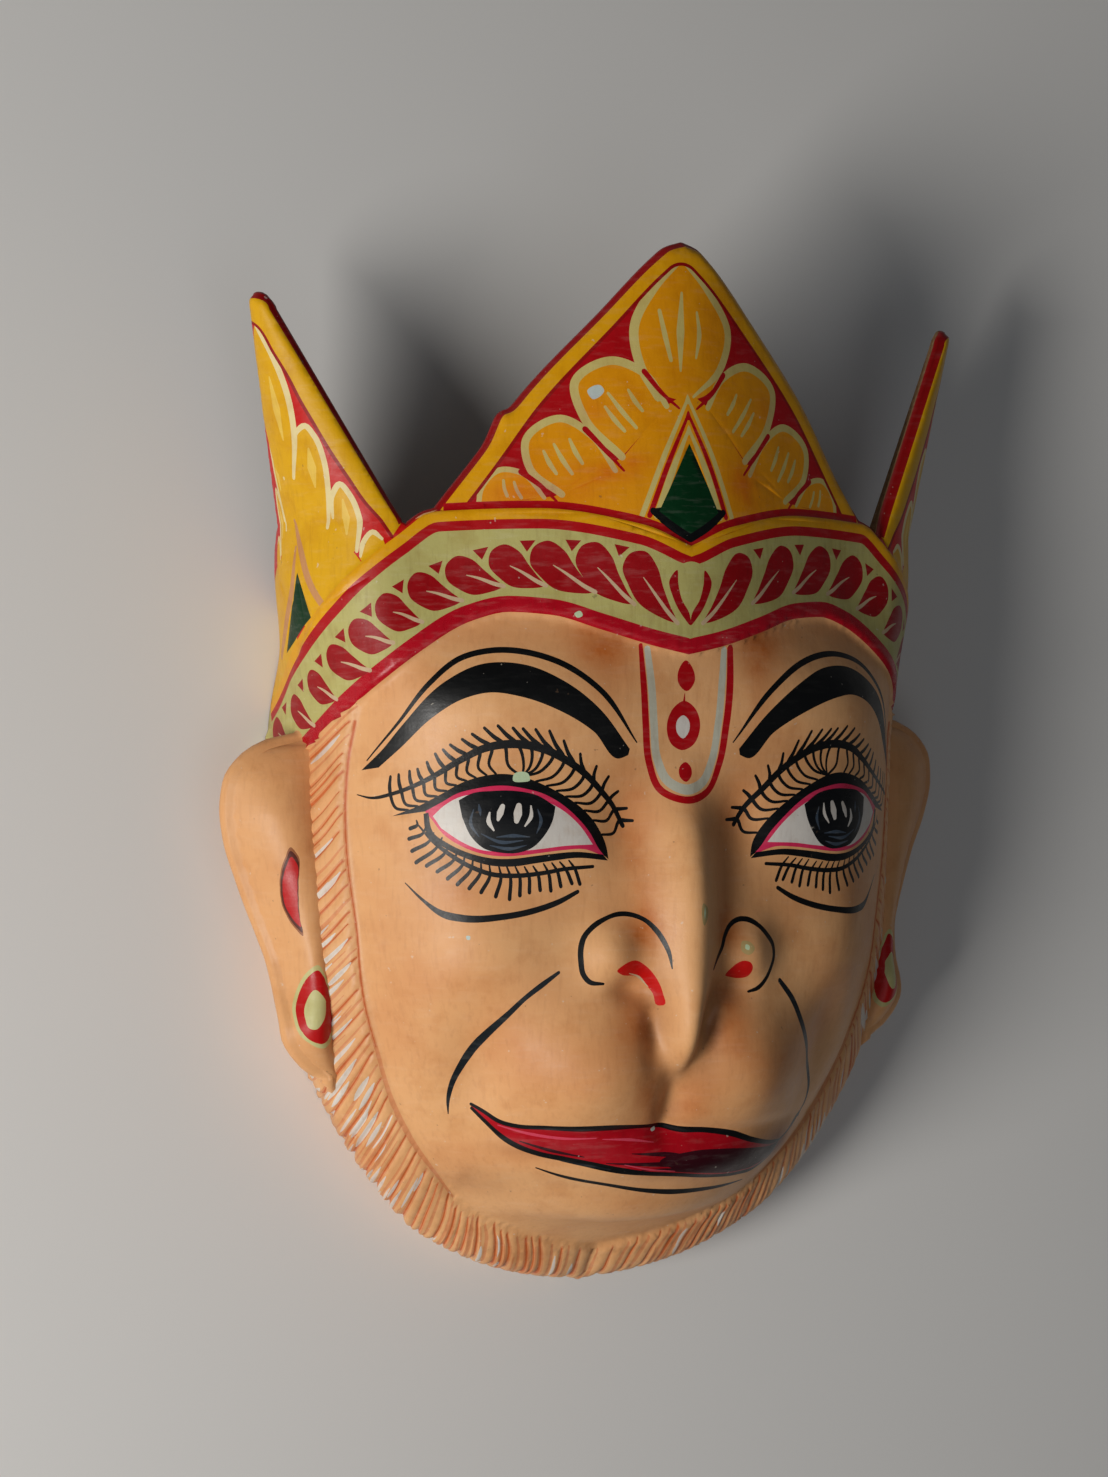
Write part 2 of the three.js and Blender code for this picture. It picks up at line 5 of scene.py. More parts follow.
import bpy
import numpy as np
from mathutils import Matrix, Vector
from mathutils.geometry import delaunay_2d_cdt


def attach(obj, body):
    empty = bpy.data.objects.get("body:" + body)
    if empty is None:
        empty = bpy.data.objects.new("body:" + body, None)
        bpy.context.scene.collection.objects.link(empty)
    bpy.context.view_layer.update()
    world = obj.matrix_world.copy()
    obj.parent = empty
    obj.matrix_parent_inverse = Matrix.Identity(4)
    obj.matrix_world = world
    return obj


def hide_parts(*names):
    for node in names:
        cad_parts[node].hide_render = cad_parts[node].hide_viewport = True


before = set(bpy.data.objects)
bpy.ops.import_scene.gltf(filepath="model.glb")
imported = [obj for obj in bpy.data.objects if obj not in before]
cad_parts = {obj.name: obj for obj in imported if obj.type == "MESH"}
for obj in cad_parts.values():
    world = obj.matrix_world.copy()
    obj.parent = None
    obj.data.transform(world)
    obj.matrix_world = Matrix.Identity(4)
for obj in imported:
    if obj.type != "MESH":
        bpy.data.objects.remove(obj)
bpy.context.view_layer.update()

# Crowned monkey-face mask of painted papier-mache, lying face up on its rim.
# Sizes in millimetres: +X to the viewer's right, +Y towards the crown, +Z out of the face.
MM = 0.001
SEED = 11
# The middle of the overall length lies this much below the height that the sizes are measured from
CENTRE_Y = 0.98

WALL = 4.0
# The wall thins to this at the crown's cut edge, over this height below it
EDGE_WALL = 2.0
EDGE_TAPER = 14.0
INSIDE_FORM = 0.8
CHIN_Y = -156.0
JAW_Y = -50.0
FRONT_PEAK_Y = 156.0
VALLEY_Y = 77.0
HALF_GIRTH = 160.0
FULL_WALL_SIZE = 60.0

# Half width at the rim, and depth in front of the rim, at heights on the face
HALF_WIDTHS = [
    (CHIN_Y, 0), (-154.6, 12), (-151.5, 23), (-144, 39), (-131, 54), (-114, 69), (-101, 78), (-83, 87),
    (JAW_Y, 95), (0, 97), (60, 95), (FRONT_PEAK_Y, 95),
]
DEPTHS = [
    (CHIN_Y, 0), (-153, 8), (-146, 22), (-135, 41), (-128, 54), (-121, 62), (-112, 68), (-97, 74),
    (-75, 79), (JAW_Y, 82), (0, 85), (40, 87), (74, 88), (FRONT_PEAK_Y, 82),
]
SQUARENESS = [(CHIN_Y, 2), (-128, 2.2), (-100, 2.3), (-40, 2.6), (0, 2.8)]

# Crown: a softly ridged front plate, and a round side plate under each side peak
CROWN_STARTS_Y = 12.0
CROWN_FULL_Y = 62.0
RIDGE_HALF = 20.0
RIDGE_FALL = 0.45
SIDE_RADIUS = 37.0
SIDE_CENTRE_X = 65.5
SIDE_CENTRE_Z = 28.0
VALLEY_X = 72.7
VALLEY_ANGLE = 8.0
PEAK_ANGLE = 77.0
VALLEY_GIRTH = 77.0
VALLEY_BLEND = 20.0
VALLEY_ROUND = 9.0
PEAK_GIRTH = 120.7
SIDE_PEAK_HALF = 35.2
SIDE_PEAK_REAR = 15.2
LEAN_Y = 74.0
REAR_EDGE_Y = 48.0
SIDE_APEX = (119.2, 148.0, 39.6)
SIDE_TIP_Y = 139.5
FRONT_PEAK_HALF = 74.0
TIP_SHIFT = 2.0

# Girth and height along the edges of the crown band, and along the front peak's edge
BAND_LOW = [
    (0, 35.5), (12, 38), (28, 42.5), (42, 46.5), (54, 47.3), (64, 45), (82, 35.5), (106, 21), (141, 1),
    (HALF_GIRTH, -6),
]
BAND_TOP = [(0, 67), (15, 73), (45, 77.5), (74, 76.5), (87, 69.5), (104, 56), (130, 34), (HALF_GIRTH, 12)]
FRONT_PEAK_EDGE = [
    (0, FRONT_PEAK_Y), (5, 154.6), (10, 151), (27, 134), (48, 112), (62, 93), (FRONT_PEAK_HALF, VALLEY_Y),
]
BAND_RAISE = 1.8
CROWN_RAISE = 1.0
STEP_HEIGHT = 1.5

# Nose, from brow to point: height of its ridge over the face, and its half breadth
NOSE_RIDGE = [
    (-92, 0), (-87, 1.5), (-83, 4.5), (-78, 8), (-72, 10.5), (-60, 12.5), (-40, 12), (-20, 8), (-4, 2),
    (8, 0),
]
NOSE_BREADTH = [(-92, 2.2), (-86, 2.8), (-80, 4.2), (-74, 5.6), (-66, 7.6), (-58, 10), (-42, 11.5),
    (-15, 9.5), (8, 8)]

# Rounded forms: girth, height, reach across, reach up, outward
FACE_FORMS = [
    (54, 24, 34, 13, 3.5),      # brow
    (56, -14, 23, 12, 3.2),     # eyeball
    (20, -14, 9, 12, -3),       # eye socket by the nose
    (24, -51, 9.5, 9.5, 5.5),   # nostril wing
    (18, -61.5, 7, 3.5, -3),    # nostril
    (9.5, -74, 4, 9, -3),       # groove beside the nose's point
    (25, -86, 23, 20, 10),      # muzzle lobe
    (66, -50, 20, 20, 3.5),     # cheek
    (66, -84, 11, 18, -3),      # cheek hollow
    (0, -97, 5, 9, -3.5),       # lip groove under the nose
    (0, -105.5, 52, 2.6, -1.8), # mouth line
    (0, -115, 42, 7, 4.5),      # lower lip
    (0, -133, 34, 13, 5),       # chin
]

# Beard ruff: its inner edge as girth fraction at heights of the sheet, its raise, and how soon it rises
RUFF_INNER = [
    (-170, 0), (-167, 0.11), (-163, 0.28), (-157, 0.42), (-152, 0.49), (-145, 0.56), (-138, 0.605),
    (-129, 0.635), (-118, 0.652), (-107, 0.668), (-94, 0.68), (-81, 0.677), (JAW_Y, 0.68), (-23, 0.69),
    (-8, 0.694), (3, 0.688), (18, 0.66), (30, 0.63),
]
RUFF_RAISE = 2.0
RUFF_RISE = 0.05


def through(keys):
    """Smooth curve through (position, value) keys that never overshoots them."""
    xs = np.array([key[0] for key in keys], float)
    ys = np.array([key[1] for key in keys], float)
    slopes = np.diff(ys) / np.diff(xs)
    before = slopes[np.maximum(np.arange(len(xs)) - 1, 0)]
    after = slopes[np.minimum(np.arange(len(xs)), len(slopes) - 1)]
    both = before * after
    total = np.where(both > 0, before + after, 1.0)
    tangents = np.where(both > 0, 2 * both / total, 0.0)

    def curve(position):
        p = np.clip(np.asarray(position, float), xs[0], xs[-1])
        i = np.clip(np.searchsorted(xs, p, side="right") - 1, 0, len(xs) - 2)
        span = xs[i + 1] - xs[i]
        t = (p - xs[i]) / span
        rise = t * t * (3 - 2 * t)
        bend = span * (t * (1 - t) ** 2 * tangents[i] - t * t * (1 - t) * tangents[i + 1])
        return ys[i] * (1 - rise) + ys[i + 1] * rise + bend

    return curve


def ease(low, high, value):
    """0 below low, 1 above high, smooth between."""
    t = np.clip((np.asarray(value, float) - low) / (high - low), 0, 1)
    return t * t * (3 - 2 * t)


def lerp(a, b, t):
    return a + (b - a) * t


half_width = through(HALF_WIDTHS)
depth = through(DEPTHS)
squareness = through(SQUARENESS)
band_low = through(BAND_LOW)
band_top = through(BAND_TOP)
front_peak_edge = through(FRONT_PEAK_EDGE)
nose_ridge = through(NOSE_RIDGE)
nose_breadth = through(NOSE_BREADTH)
ruff_inner = through(RUFF_INNER)

SECTION_STEPS = 160
FRACTIONS = np.linspace(0, 1, 321)


def less_wall(size, inset):
    return np.maximum(size - inset * np.minimum(1, size / FULL_WALL_SIZE), 0.001)


def face_sections(levels, inset):
    """Level sections of the face as superellipse halves: x and z at even girth fractions, and girths."""
    w = less_wall(half_width(levels), inset)[:, None]
    d = less_wall(depth(levels), inset)[:, None]
    n = squareness(levels)[:, None]
    a = np.linspace(0, math.pi / 2, SECTION_STEPS + 1)[None, :]
    r = ((np.sin(a) / w) ** n + (np.cos(a) / d) ** n) ** (-1 / n)
    x = r * np.sin(a)
    z = r * np.cos(a)
    x[:, -1] = w[:, 0]
    z[:, -1] = 0
    steps = np.hypot(np.diff(x), np.diff(z))
    lengths = np.concatenate([np.zeros((len(levels), 1)), np.cumsum(steps, axis=1)], axis=1)
    xs = np.array([np.interp(FRACTIONS * l[-1], l, row) for l, row in zip(lengths, x)])
    zs = np.array([np.interp(FRACTIONS * l[-1], l, row) for l, row in zip(lengths, z)])
    return xs, zs, lengths[:, -1]


def crown_sections(levels, inset):
    """Level sections of the crown: ridged front plate to the valley, then the round side plate."""
    girth = FRACTIONS[None, :] * HALF_GIRTH
    x_front = np.minimum(VALLEY_X * girth / VALLEY_GIRTH, VALLEY_X)
    z_front = depth(levels)[:, None] - inset - RIDGE_FALL * (np.hypot(RIDGE_HALF, x_front) - RIDGE_HALF)
    radius = SIDE_RADIUS - inset
    rim_angle = math.degrees(math.acos(-SIDE_CENTRE_Z / radius))
    before = VALLEY_ANGLE + (PEAK_ANGLE - VALLEY_ANGLE) * (girth - VALLEY_GIRTH) / (PEAK_GIRTH - VALLEY_GIRTH)
    after = PEAK_ANGLE + (rim_angle - PEAK_ANGLE) * (girth - PEAK_GIRTH) / (HALF_GIRTH - PEAK_GIRTH)
    a = np.radians(np.where(girth < PEAK_GIRTH, before, after))
    on_front = girth < VALLEY_GIRTH
    held = 1 - ease(VALLEY_GIRTH, VALLEY_GIRTH + VALLEY_BLEND, girth)
    start = math.radians(VALLEY_ANGLE)
    x_side = SIDE_CENTRE_X + radius * (np.sin(a) - held * math.sin(start)) + held * (VALLEY_X - SIDE_CENTRE_X)
    z_side = SIDE_CENTRE_Z + radius * (np.cos(a) - held * math.cos(start))
    z_side = z_side + held * (z_front[:, -1:] - SIDE_CENTRE_Z)
    x = np.where(on_front, x_front, x_side)
    z = np.where(on_front, z_front, z_side)
    # The crease between the plates is rounded
    near = np.exp(-(((girth - VALLEY_GIRTH) / VALLEY_ROUND) ** 2))
    for _ in range(4):
        for values in (x, z):
            soft = (values[:, :-16] + values[:, 8:-8] + values[:, 16:]) / 3
            values[:, 8:-8] = lerp(values[:, 8:-8], soft, near[:, 8:-8])
    return x, z


# Under the jaw the sheet's height runs along the centre profile, not straight down
JAW_LEVELS = JAW_Y + (CHIN_Y - JAW_Y) * np.sin(np.linspace(0, math.pi / 2, 401))
JAW_LENGTHS = np.concatenate([[0], np.cumsum(np.hypot(np.diff(JAW_LEVELS), np.diff(depth(JAW_LEVELS))))])
JAW_GIRTHS = face_sections(JAW_LEVELS, 0.0)[2]
JAW_GIRTHS = HALF_GIRTH * JAW_GIRTHS / JAW_GIRTHS[0]
SHEET_BOTTOM = JAW_Y - JAW_LENGTHS[-1]


def level_of(v):
    return np.where(v >= JAW_Y, v, np.interp(JAW_Y - v, JAW_LENGTHS, JAW_LEVELS))


def half_girth(v):
    return np.where(v >= JAW_Y, HALF_GIRTH, np.interp(JAW_Y - v, JAW_LENGTHS, JAW_GIRTHS))


class SheetTable:
    """Points of the smooth sheet at even heights and girth fractions, for one inset."""

    STEP = 0.25

    def __init__(self, inset):
        self.rows = np.arange(SHEET_BOTTOM, FRONT_PEAK_Y + 2, self.STEP)
        levels = level_of(self.rows)
        face_x, face_z, _ = face_sections(levels, inset)
        crown_x, crown_z = crown_sections(levels, inset)
        blend = ease(CROWN_STARTS_Y, CROWN_FULL_Y, levels)[:, None]
        self.x = lerp(face_x, crown_x, blend)
        self.z = lerp(face_z, crown_z, blend)
        jaw_scale = (JAW_Y - CHIN_Y - inset) / (JAW_Y - CHIN_Y)
        self.y = np.where(levels < JAW_Y, JAW_Y + (levels - JAW_Y) * jaw_scale, levels)

    def point(self, fraction, v):
        r = np.clip((v - self.rows[0]) / self.STEP, 0, len(self.rows) - 1.001)
        c = np.clip(fraction, 0, 1) * (len(FRACTIONS) - 1)
        c = np.minimum(c, len(FRACTIONS) - 1.001)
        i, j = r.astype(int), c.astype(int)
        t, u = r - i, c - j

        def at(values):
            low = values[i, j] * (1 - u) + values[i, j + 1] * u
            high = values[i + 1, j] * (1 - u) + values[i + 1, j + 1] * u
            return low * (1 - t) + high * t

        return at(self.x), self.y[i] * (1 - t) + self.y[i + 1] * t, at(self.z)


TABLES = {inset: SheetTable(inset) for inset in (0.0, EDGE_WALL, WALL)}


def sheet_points(girth, v, inset=0.0):
    """Points of the smooth sheet at girths and heights; inset moves them inside by the wall."""
    girth = np.asarray(girth, float)
    v = np.asarray(v, float)
    side = np.abs(girth)
    leaning = (side > VALLEY_GIRTH) & (v > LEAN_Y)
    lean = np.where(leaning, (v - LEAN_Y) / (SIDE_APEX[1] - LEAN_Y), 0.0)
    foot = np.where(leaning, PEAK_GIRTH + (side - PEAK_GIRTH) / np.maximum(1 - lean, 0.001), side)
    height = np.where(leaning, LEAN_Y, v)
    x, y, z = TABLES[inset].point(foot / np.maximum(half_girth(height), 0.001), height)
    ridge = math.radians(PEAK_ANGLE)
    x = lerp(x, SIDE_APEX[0] - inset * math.sin(ridge), lean)
    y = lerp(y, SIDE_APEX[1], lean)
    z = lerp(z, SIDE_APEX[2] - inset * math.cos(ridge), lean)
    return np.stack([np.where(girth < 0, -x, x), y, z], axis=-1)


def outward(girth, v):
    """Outward directions of the smooth sheet."""
    step = 0.6
    limit = half_girth(v)
    right = sheet_points(np.minimum(girth + step, limit), v)
    left = sheet_points(np.maximum(girth - step, -limit), v)
    fraction = girth / np.maximum(limit, 0.001)
    above = sheet_points(fraction * half_girth(v + step), v + step)
    below = sheet_points(fraction * half_girth(v - step), v - step)
    normal = np.cross(right - left, above - below)
    return normal / np.maximum(np.linalg.norm(normal, axis=-1, keepdims=True), 1e-9)


def moulded_raise(girth, v):
    """Large moulded forms, that the inside follows too."""
    across = np.abs(girth)
    total = np.zeros_like(across)
    for at_girth, at_v, reach_girth, reach_v, raised in FACE_FORMS:
        total += raised * np.exp(-((across - at_girth) / reach_girth) ** 2 - ((v - at_v) / reach_v) ** 2)
    return total + nose_ridge(v) * np.exp(-((across / nose_breadth(v)) ** 2))


def outside_points(girth, v):
    """Points of the outer face with its relief."""
    return sheet_points(girth, v) + outward(girth, v) * relief(girth, v)[..., None]


# Under the jaw the ruff swells out: swell at places along the ring, and where across it the swell is greatest
RUFF_SWELL = [(0, 4), (40, 5.5), (90, 8), (130, 7.5), (170, 5.5), (200, 4), (235, 0)]
SWELL_FULL_Q = 0.45


def ruff_swell(girth, v):
    along, q = ring_of(girth, v)
    swell = through(RUFF_SWELL)(along) * ease(-0.05, SWELL_FULL_Q, q) * (1 - ease(SWELL_FULL_Q, 1, q))
    return swell * (v < band_low(np.abs(girth)))


def inside_points(girth, v):
    edge = np.where(girth < 0, edge_height(-girth, -1), edge_height(girth, 1))
    whole = ease(0, EDGE_TAPER, edge - v)[..., None]
    sheet = lerp(sheet_points(girth, v, EDGE_WALL), sheet_points(girth, v, WALL), whole)
    raised = INSIDE_FORM * moulded_raise(girth, v) + ruff_swell(girth, v)
    return sheet + outward(girth, v) * raised[..., None]


def band_raise(girth, v):
    across = np.abs(girth)
    above_low = v - band_low(across) + STEP_HEIGHT / 2
    above_top = v - band_top(across) + STEP_HEIGHT / 2
    drop = (BAND_RAISE - CROWN_RAISE) * ease(0, STEP_HEIGHT, above_top)
    return BAND_RAISE * ease(0, STEP_HEIGHT, above_low) - drop


# Ring coordinates of the beard ruff: along it from under the chin, and across it from inner edge to rim
RING_CENTRE_V = -40.0
RING_RADIUS = 120.0
RING_SIDE = RING_RADIUS * math.pi / 2


def ring_radii():
    """Turn about the ring's centre, and distances of the ruff's inner edge and of the rim."""
    v = np.linspace(RING_CENTRE_V, SHEET_BOTTOM, 500)
    limit = half_girth(v)
    turns, radii = [], []
    for edge in (np.where(v < RUFF_INNER[0][0], 0, ruff_inner(v)) * limit, limit):
        turn = np.arctan2(edge, RING_CENTRE_V - v)
        radius = np.hypot(edge, RING_CENTRE_V - v)
        order = np.argsort(turn)
        turns.append(turn[order])
        radii.append(radius[order])
    return turns, radii


RING_TURNS, RING_RADII = ring_radii()


def ring_of(girth, v):
    """Position along and across the ruff of a place on the sheet."""
    across = np.abs(girth)
    turn = np.arctan2(across, RING_CENTRE_V - v)
    radius = np.hypot(across, RING_CENTRE_V - v)
    low_in = np.interp(turn, RING_TURNS[0], RING_RADII[0])
    low_out = np.interp(turn, RING_TURNS[1], RING_RADII[1])
    under = v < RING_CENTRE_V
    along = np.where(under, RING_RADIUS * turn, RING_SIDE + v - RING_CENTRE_V)
    inner = ruff_inner(v)
    side_q = (across / half_girth(v) - inner) / (1 - inner)
    return along, np.where(under, (radius - low_in) / (low_out - low_in), side_q)


def ring_point(along, q):
    """Girth and height of a place given along and across the ruff."""
    along = np.asarray(along, float)
    turn = np.clip(along / RING_RADIUS, 0, math.pi / 2)
    low_in, low_out = (np.interp(turn, turns, radii) for turns, radii in zip(RING_TURNS, RING_RADII))
    radius = lerp(low_in, low_out, q)
    v = np.maximum(RING_CENTRE_V + along - RING_SIDE, RING_CENTRE_V)
    inner = ruff_inner(v)
    under = along < RING_SIDE
    return (
        np.where(under, radius * np.sin(turn), HALF_GIRTH * lerp(inner, 1, q)),
        np.where(under, RING_CENTRE_V - radius * np.cos(turn), v),
    )


TUFT_PITCH = 4.0
TUFT_RAISE = 1.5
# How far tufts drop towards the chin, at places along the ruff; beside the mouth they sweep out in a bow
TUFT_DROP = 20.0
TUFT_CURVE = 2.7
tuft_drop = through([(0, 0), (20, 9), (45, 17), (65, 17), (90, 9), (110, 5), (130, 4), (145, 6), (165, 14),
    (185, 19), (260, TUFT_DROP)])
BOW_PLACE, BOW_REACH, BOW_DROP = 132.0, 20.0, 7.0
# Towards the rim the tufts join two and two into round lobes
LOBE_RAISE = 3.2


def tuft_fall(q, along):
    """How far a tuft has dropped along the ruff, from its inner edge out."""
    q = np.clip(q, 0, 1)
    bow = BOW_DROP * np.exp(-((along - BOW_PLACE) / BOW_REACH) ** 2) * np.sin(math.pi * q)
    return tuft_drop(along) * (1 - (1 - q) ** TUFT_CURVE) + bow


def tuft_wobble(phase):
    """Tufts are not quite even."""
    return 0.18 * np.sin(phase * 1.7) + 0.1 * np.sin(phase * 0.61 + 2)


def tuft_place(start, q):
    """Place along the ruff, at q across it, of the tuft that starts at a place on its inner edge."""
    along = start
    for _ in range(20):
        along = start - tuft_fall(q, along)
    return max(float(along), 0.0)


def ruff_raise(girth, v):
    """Beard ruff: a raised belt of slanting tufts."""
    along, q = ring_of(girth, v)
    inside = (v < band_low(np.abs(girth))) * ease(-0.03, RUFF_RISE, q)
    phase = (along + tuft_fall(q, along)) / TUFT_PITCH + 0.5
    phase = phase + tuft_wobble(phase)
    tuft = np.abs(np.sin(math.pi * phase)) ** 0.7
    lobe = np.abs(np.sin(math.pi * phase / 2)) ** 0.8
    groove = TUFT_RAISE * (1 - tuft) * lerp(0.35, 0.8, np.clip(q, 0, 1))
    notch = LOBE_RAISE * (1 - lobe) * ease(0.3, 0.85, q)
    return inside * (RUFF_RAISE - (groove + notch))


TIP_HALF = 4.2
# Lump of paper on the left edge of the front peak: girth, reach, height
LUMP = (55.5, 2.6, 3.2)
# Numbers of points in the front peak's edge, in the valley, on a side peak's slopes and tip, and behind it
FRONT_COUNT, VALLEY_COUNT, SLOPE_COUNT, TIP_COUNT, REAR_COUNT = 120, 8, 44, 11, 14
SIDE_START = FRONT_COUNT + VALLEY_COUNT


def crown_edge_line(hand):
    """Edge of the crown from the middle of the front peak to the rim, on the right (1) or left (-1)."""
    across = np.linspace(0, FRONT_PEAK_HALF, FRONT_COUNT)
    shift = TIP_SHIFT * (1 - across / FRONT_PEAK_HALF)
    height = front_peak_edge(np.abs(across - hand * shift))
    if hand < 0:
        height += LUMP[2] * np.exp(-((across - LUMP[0]) / LUMP[1]) ** 2)
    front = np.stack([across, height], 1)
    lean = SIDE_PEAK_HALF / (SIDE_APEX[1] - LEAN_Y)
    rear_lean = SIDE_PEAK_REAR / (SIDE_APEX[1] - LEAN_Y)
    start = PEAK_GIRTH - SIDE_PEAK_HALF
    valley_across = np.linspace(FRONT_PEAK_HALF + 1, start - 2, VALLEY_COUNT)
    valley = np.stack([valley_across, band_top(valley_across) + 0.3], 1)
    shoulder_y = SIDE_TIP_Y - TIP_HALF
    rise = np.linspace(LEAN_Y - 1, shoulder_y, SLOPE_COUNT)
    inner = np.stack([PEAK_GIRTH - lean * (SIDE_APEX[1] - rise), rise], 1)
    turn = np.linspace(math.pi, 0, TIP_COUNT + 2)[1:-1]
    half = np.where(turn > math.pi / 2, lean, rear_lean) * (SIDE_APEX[1] - shoulder_y)
    tip = np.stack([PEAK_GIRTH + half * np.cos(turn), shoulder_y + TIP_HALF * np.sin(turn)], 1)
    outer = np.stack([PEAK_GIRTH + rear_lean * (SIDE_APEX[1] - rise[::-1]), rise[::-1]], 1)[:-1]
    rear_girth = np.linspace(PEAK_GIRTH + SIDE_PEAK_REAR, HALF_GIRTH, REAR_COUNT)
    rear = np.stack([rear_girth, np.linspace(LEAN_Y, REAR_EDGE_Y, REAR_COUNT)], 1)
    return np.vstack([front, valley, inner, tip, outer, rear])


CROWN_EDGES = {hand: crown_edge_line(hand) for hand in (1, -1)}
CROWN_EDGE = CROWN_EDGES[1]


def edge_height(across, hand):
    return np.interp(across, CROWN_EDGES[hand][:, 0], CROWN_EDGES[hand][:, 1])


def rim_line():
    under = ring_point(np.linspace(RING_SIDE, 1.2, 156), 1.0)[1]
    v = np.concatenate([np.arange(REAR_EDGE_Y - 2, RING_CENTRE_V + 1, -1.8), under])
    return np.stack([half_girth(v), v], 1)


def sheet_outline():
    """Whole edge of the sheet, anticlockwise from under the chin."""
    right, left = (np.vstack([rim_line()[::-1], CROWN_EDGES[hand][::-1]]) for hand in (1, -1))
    return np.vstack([[[0, SHEET_BOTTOM]], right, left[::-1][1:] * [-1, 1]])


def nearest_on_line(points, line):
    """Distances of points from a line of short straight steps."""
    best = np.full(len(points), 1e9)
    for a, b in zip(line[:-1], line[1:]):
        d = b - a
        t = np.clip(((points - a) @ d) / max(d @ d, 1e-9), 0, 1)
        best = np.minimum(best, np.hypot(*(points - a - t[:, None] * d).T))
    return best


EDGE_ROLL = 3.0
SIDE_EDGE_ROLL = 2.0
# Below this height nothing lies near the crown's edge, and the roll stops this short of upright
ROLL_LOW = 8
ROLL_STEEPNESS = 0.98


def edge_roll(girth, v):
    """The crown's cut edge is rolled back."""
    across = np.abs(girth)
    points = np.stack([across.ravel(), v.ravel()], 1)
    left = girth.ravel() < 0
    distance = np.full(len(points), 99.0)
    for hand, side in ((1, ~left), (-1, left)):
        near = side & (points[:, 1] > ROLL_LOW)
        distance[near] = nearest_on_line(points[near], CROWN_EDGES[hand])
    distance = distance.reshape(across.shape)
    roll = np.where(across < FRONT_PEAK_HALF + 4, EDGE_ROLL, SIDE_EDGE_ROLL)
    roll = roll * ease(band_top(across) - 4, band_top(across) + 14, v)
    roll = np.maximum(roll, 0.01)
    inside = np.clip(1 - distance / roll, 0, 1)
    return roll * (1 - np.sqrt(1 - inside ** 2 * ROLL_STEEPNESS))


def relief(girth, v):
    raised = moulded_raise(girth, v) + band_raise(girth, v) + ruff_raise(girth, v)
    return raised + ruff_swell(girth, v) - edge_roll(girth, v)


# Lines and shapes of paint, in girth and height
def smooth_line(points, step=1.0, closed=False):
    """Even points along a smooth line through a few points."""
    p = np.array(points, float)
    ends = (p[-1:], p[:2]) if closed else (2 * p[:1] - p[1:2], 2 * p[-1:] - p[-2:-1])
    p = np.vstack([ends[0], p, ends[1]])
    out = []
    for a, b, c, d in zip(p[:-3], p[1:-2], p[2:-1], p[3:]):
        before, span, after = (max(np.hypot(*q), 1e-6) for q in (b - a, c - b, d - c))
        leave = ((b - a) / before * span + (c - b) / span * before) / (before + span)
        arrive = ((c - b) / span * after + (d - c) / after * span) / (span + after)
        count = max(1, math.ceil(span / step))
        for k in range(count):
            t = k / count
            rise = t * t * (3 - 2 * t)
            bend = span * (t * (1 - t) ** 2 * leave - t * t * (1 - t) * arrive)
            out.append(b * (1 - rise) + c * rise + bend)
    if not closed:
        out.append(p[-2])
    return np.array(out)


def normals_of(line):
    tangent = np.gradient(line, axis=0)
    tangent /= np.maximum(np.hypot(*tangent.T), 1e-9)[:, None]
    return np.stack([-tangent[:, 1], tangent[:, 0]], 1)


def stroke(points, widths, step=1.0):
    """Outline of a brush stroke along a smooth line, with widths at even places on it."""
    line = smooth_line(points, step)
    run = np.concatenate([[0], np.cumsum(np.hypot(*np.diff(line, axis=0).T))])
    width = np.interp(run / run[-1], np.linspace(0, 1, len(widths)), widths) / 2
    normal = normals_of(line)
    left = line + normal * width[:, None]
    right = line - normal * width[:, None]

    def cap(i, toward):
        if width[i] < 0.25:
            return np.zeros((0, 2))
        ahead = np.array([normal[i, 1], -normal[i, 0]]) * toward
        return np.array([
            line[i] + width[i] * (math.cos(a) * normal[i] * toward + math.sin(a) * ahead)
            for a in (0.8, 1.57, 2.34)
        ])

    return np.vstack([left, cap(-1, 1), right[::-1], cap(0, -1)])


def filled(points, step=1.0):
    return smooth_line(points, step, closed=True)


def straight(points):
    return np.array(points, float)


def offset_line(line, distance):
    return line + normals_of(line) * distance


def strip(line, other):
    """Outline of the strip between two lines that run the same way."""
    return np.vstack([line, other[::-1]])


def beside(curve, places, lower=0.0):
    """Line along a curve of heights at places on both sides of the middle, or a little lower."""
    return [(float(s), float(curve(abs(s))) - lower) for s in places]


LAYERS = []


def paint(name, outline, both=False):
    """Lays one flat shape of paint over what is there; both lays its mirror too."""
    LAYERS.append((name, np.asarray(outline, float)))
    if both:
        LAYERS.append((name, np.asarray(outline, float)[::-1] * [-1, 1]))


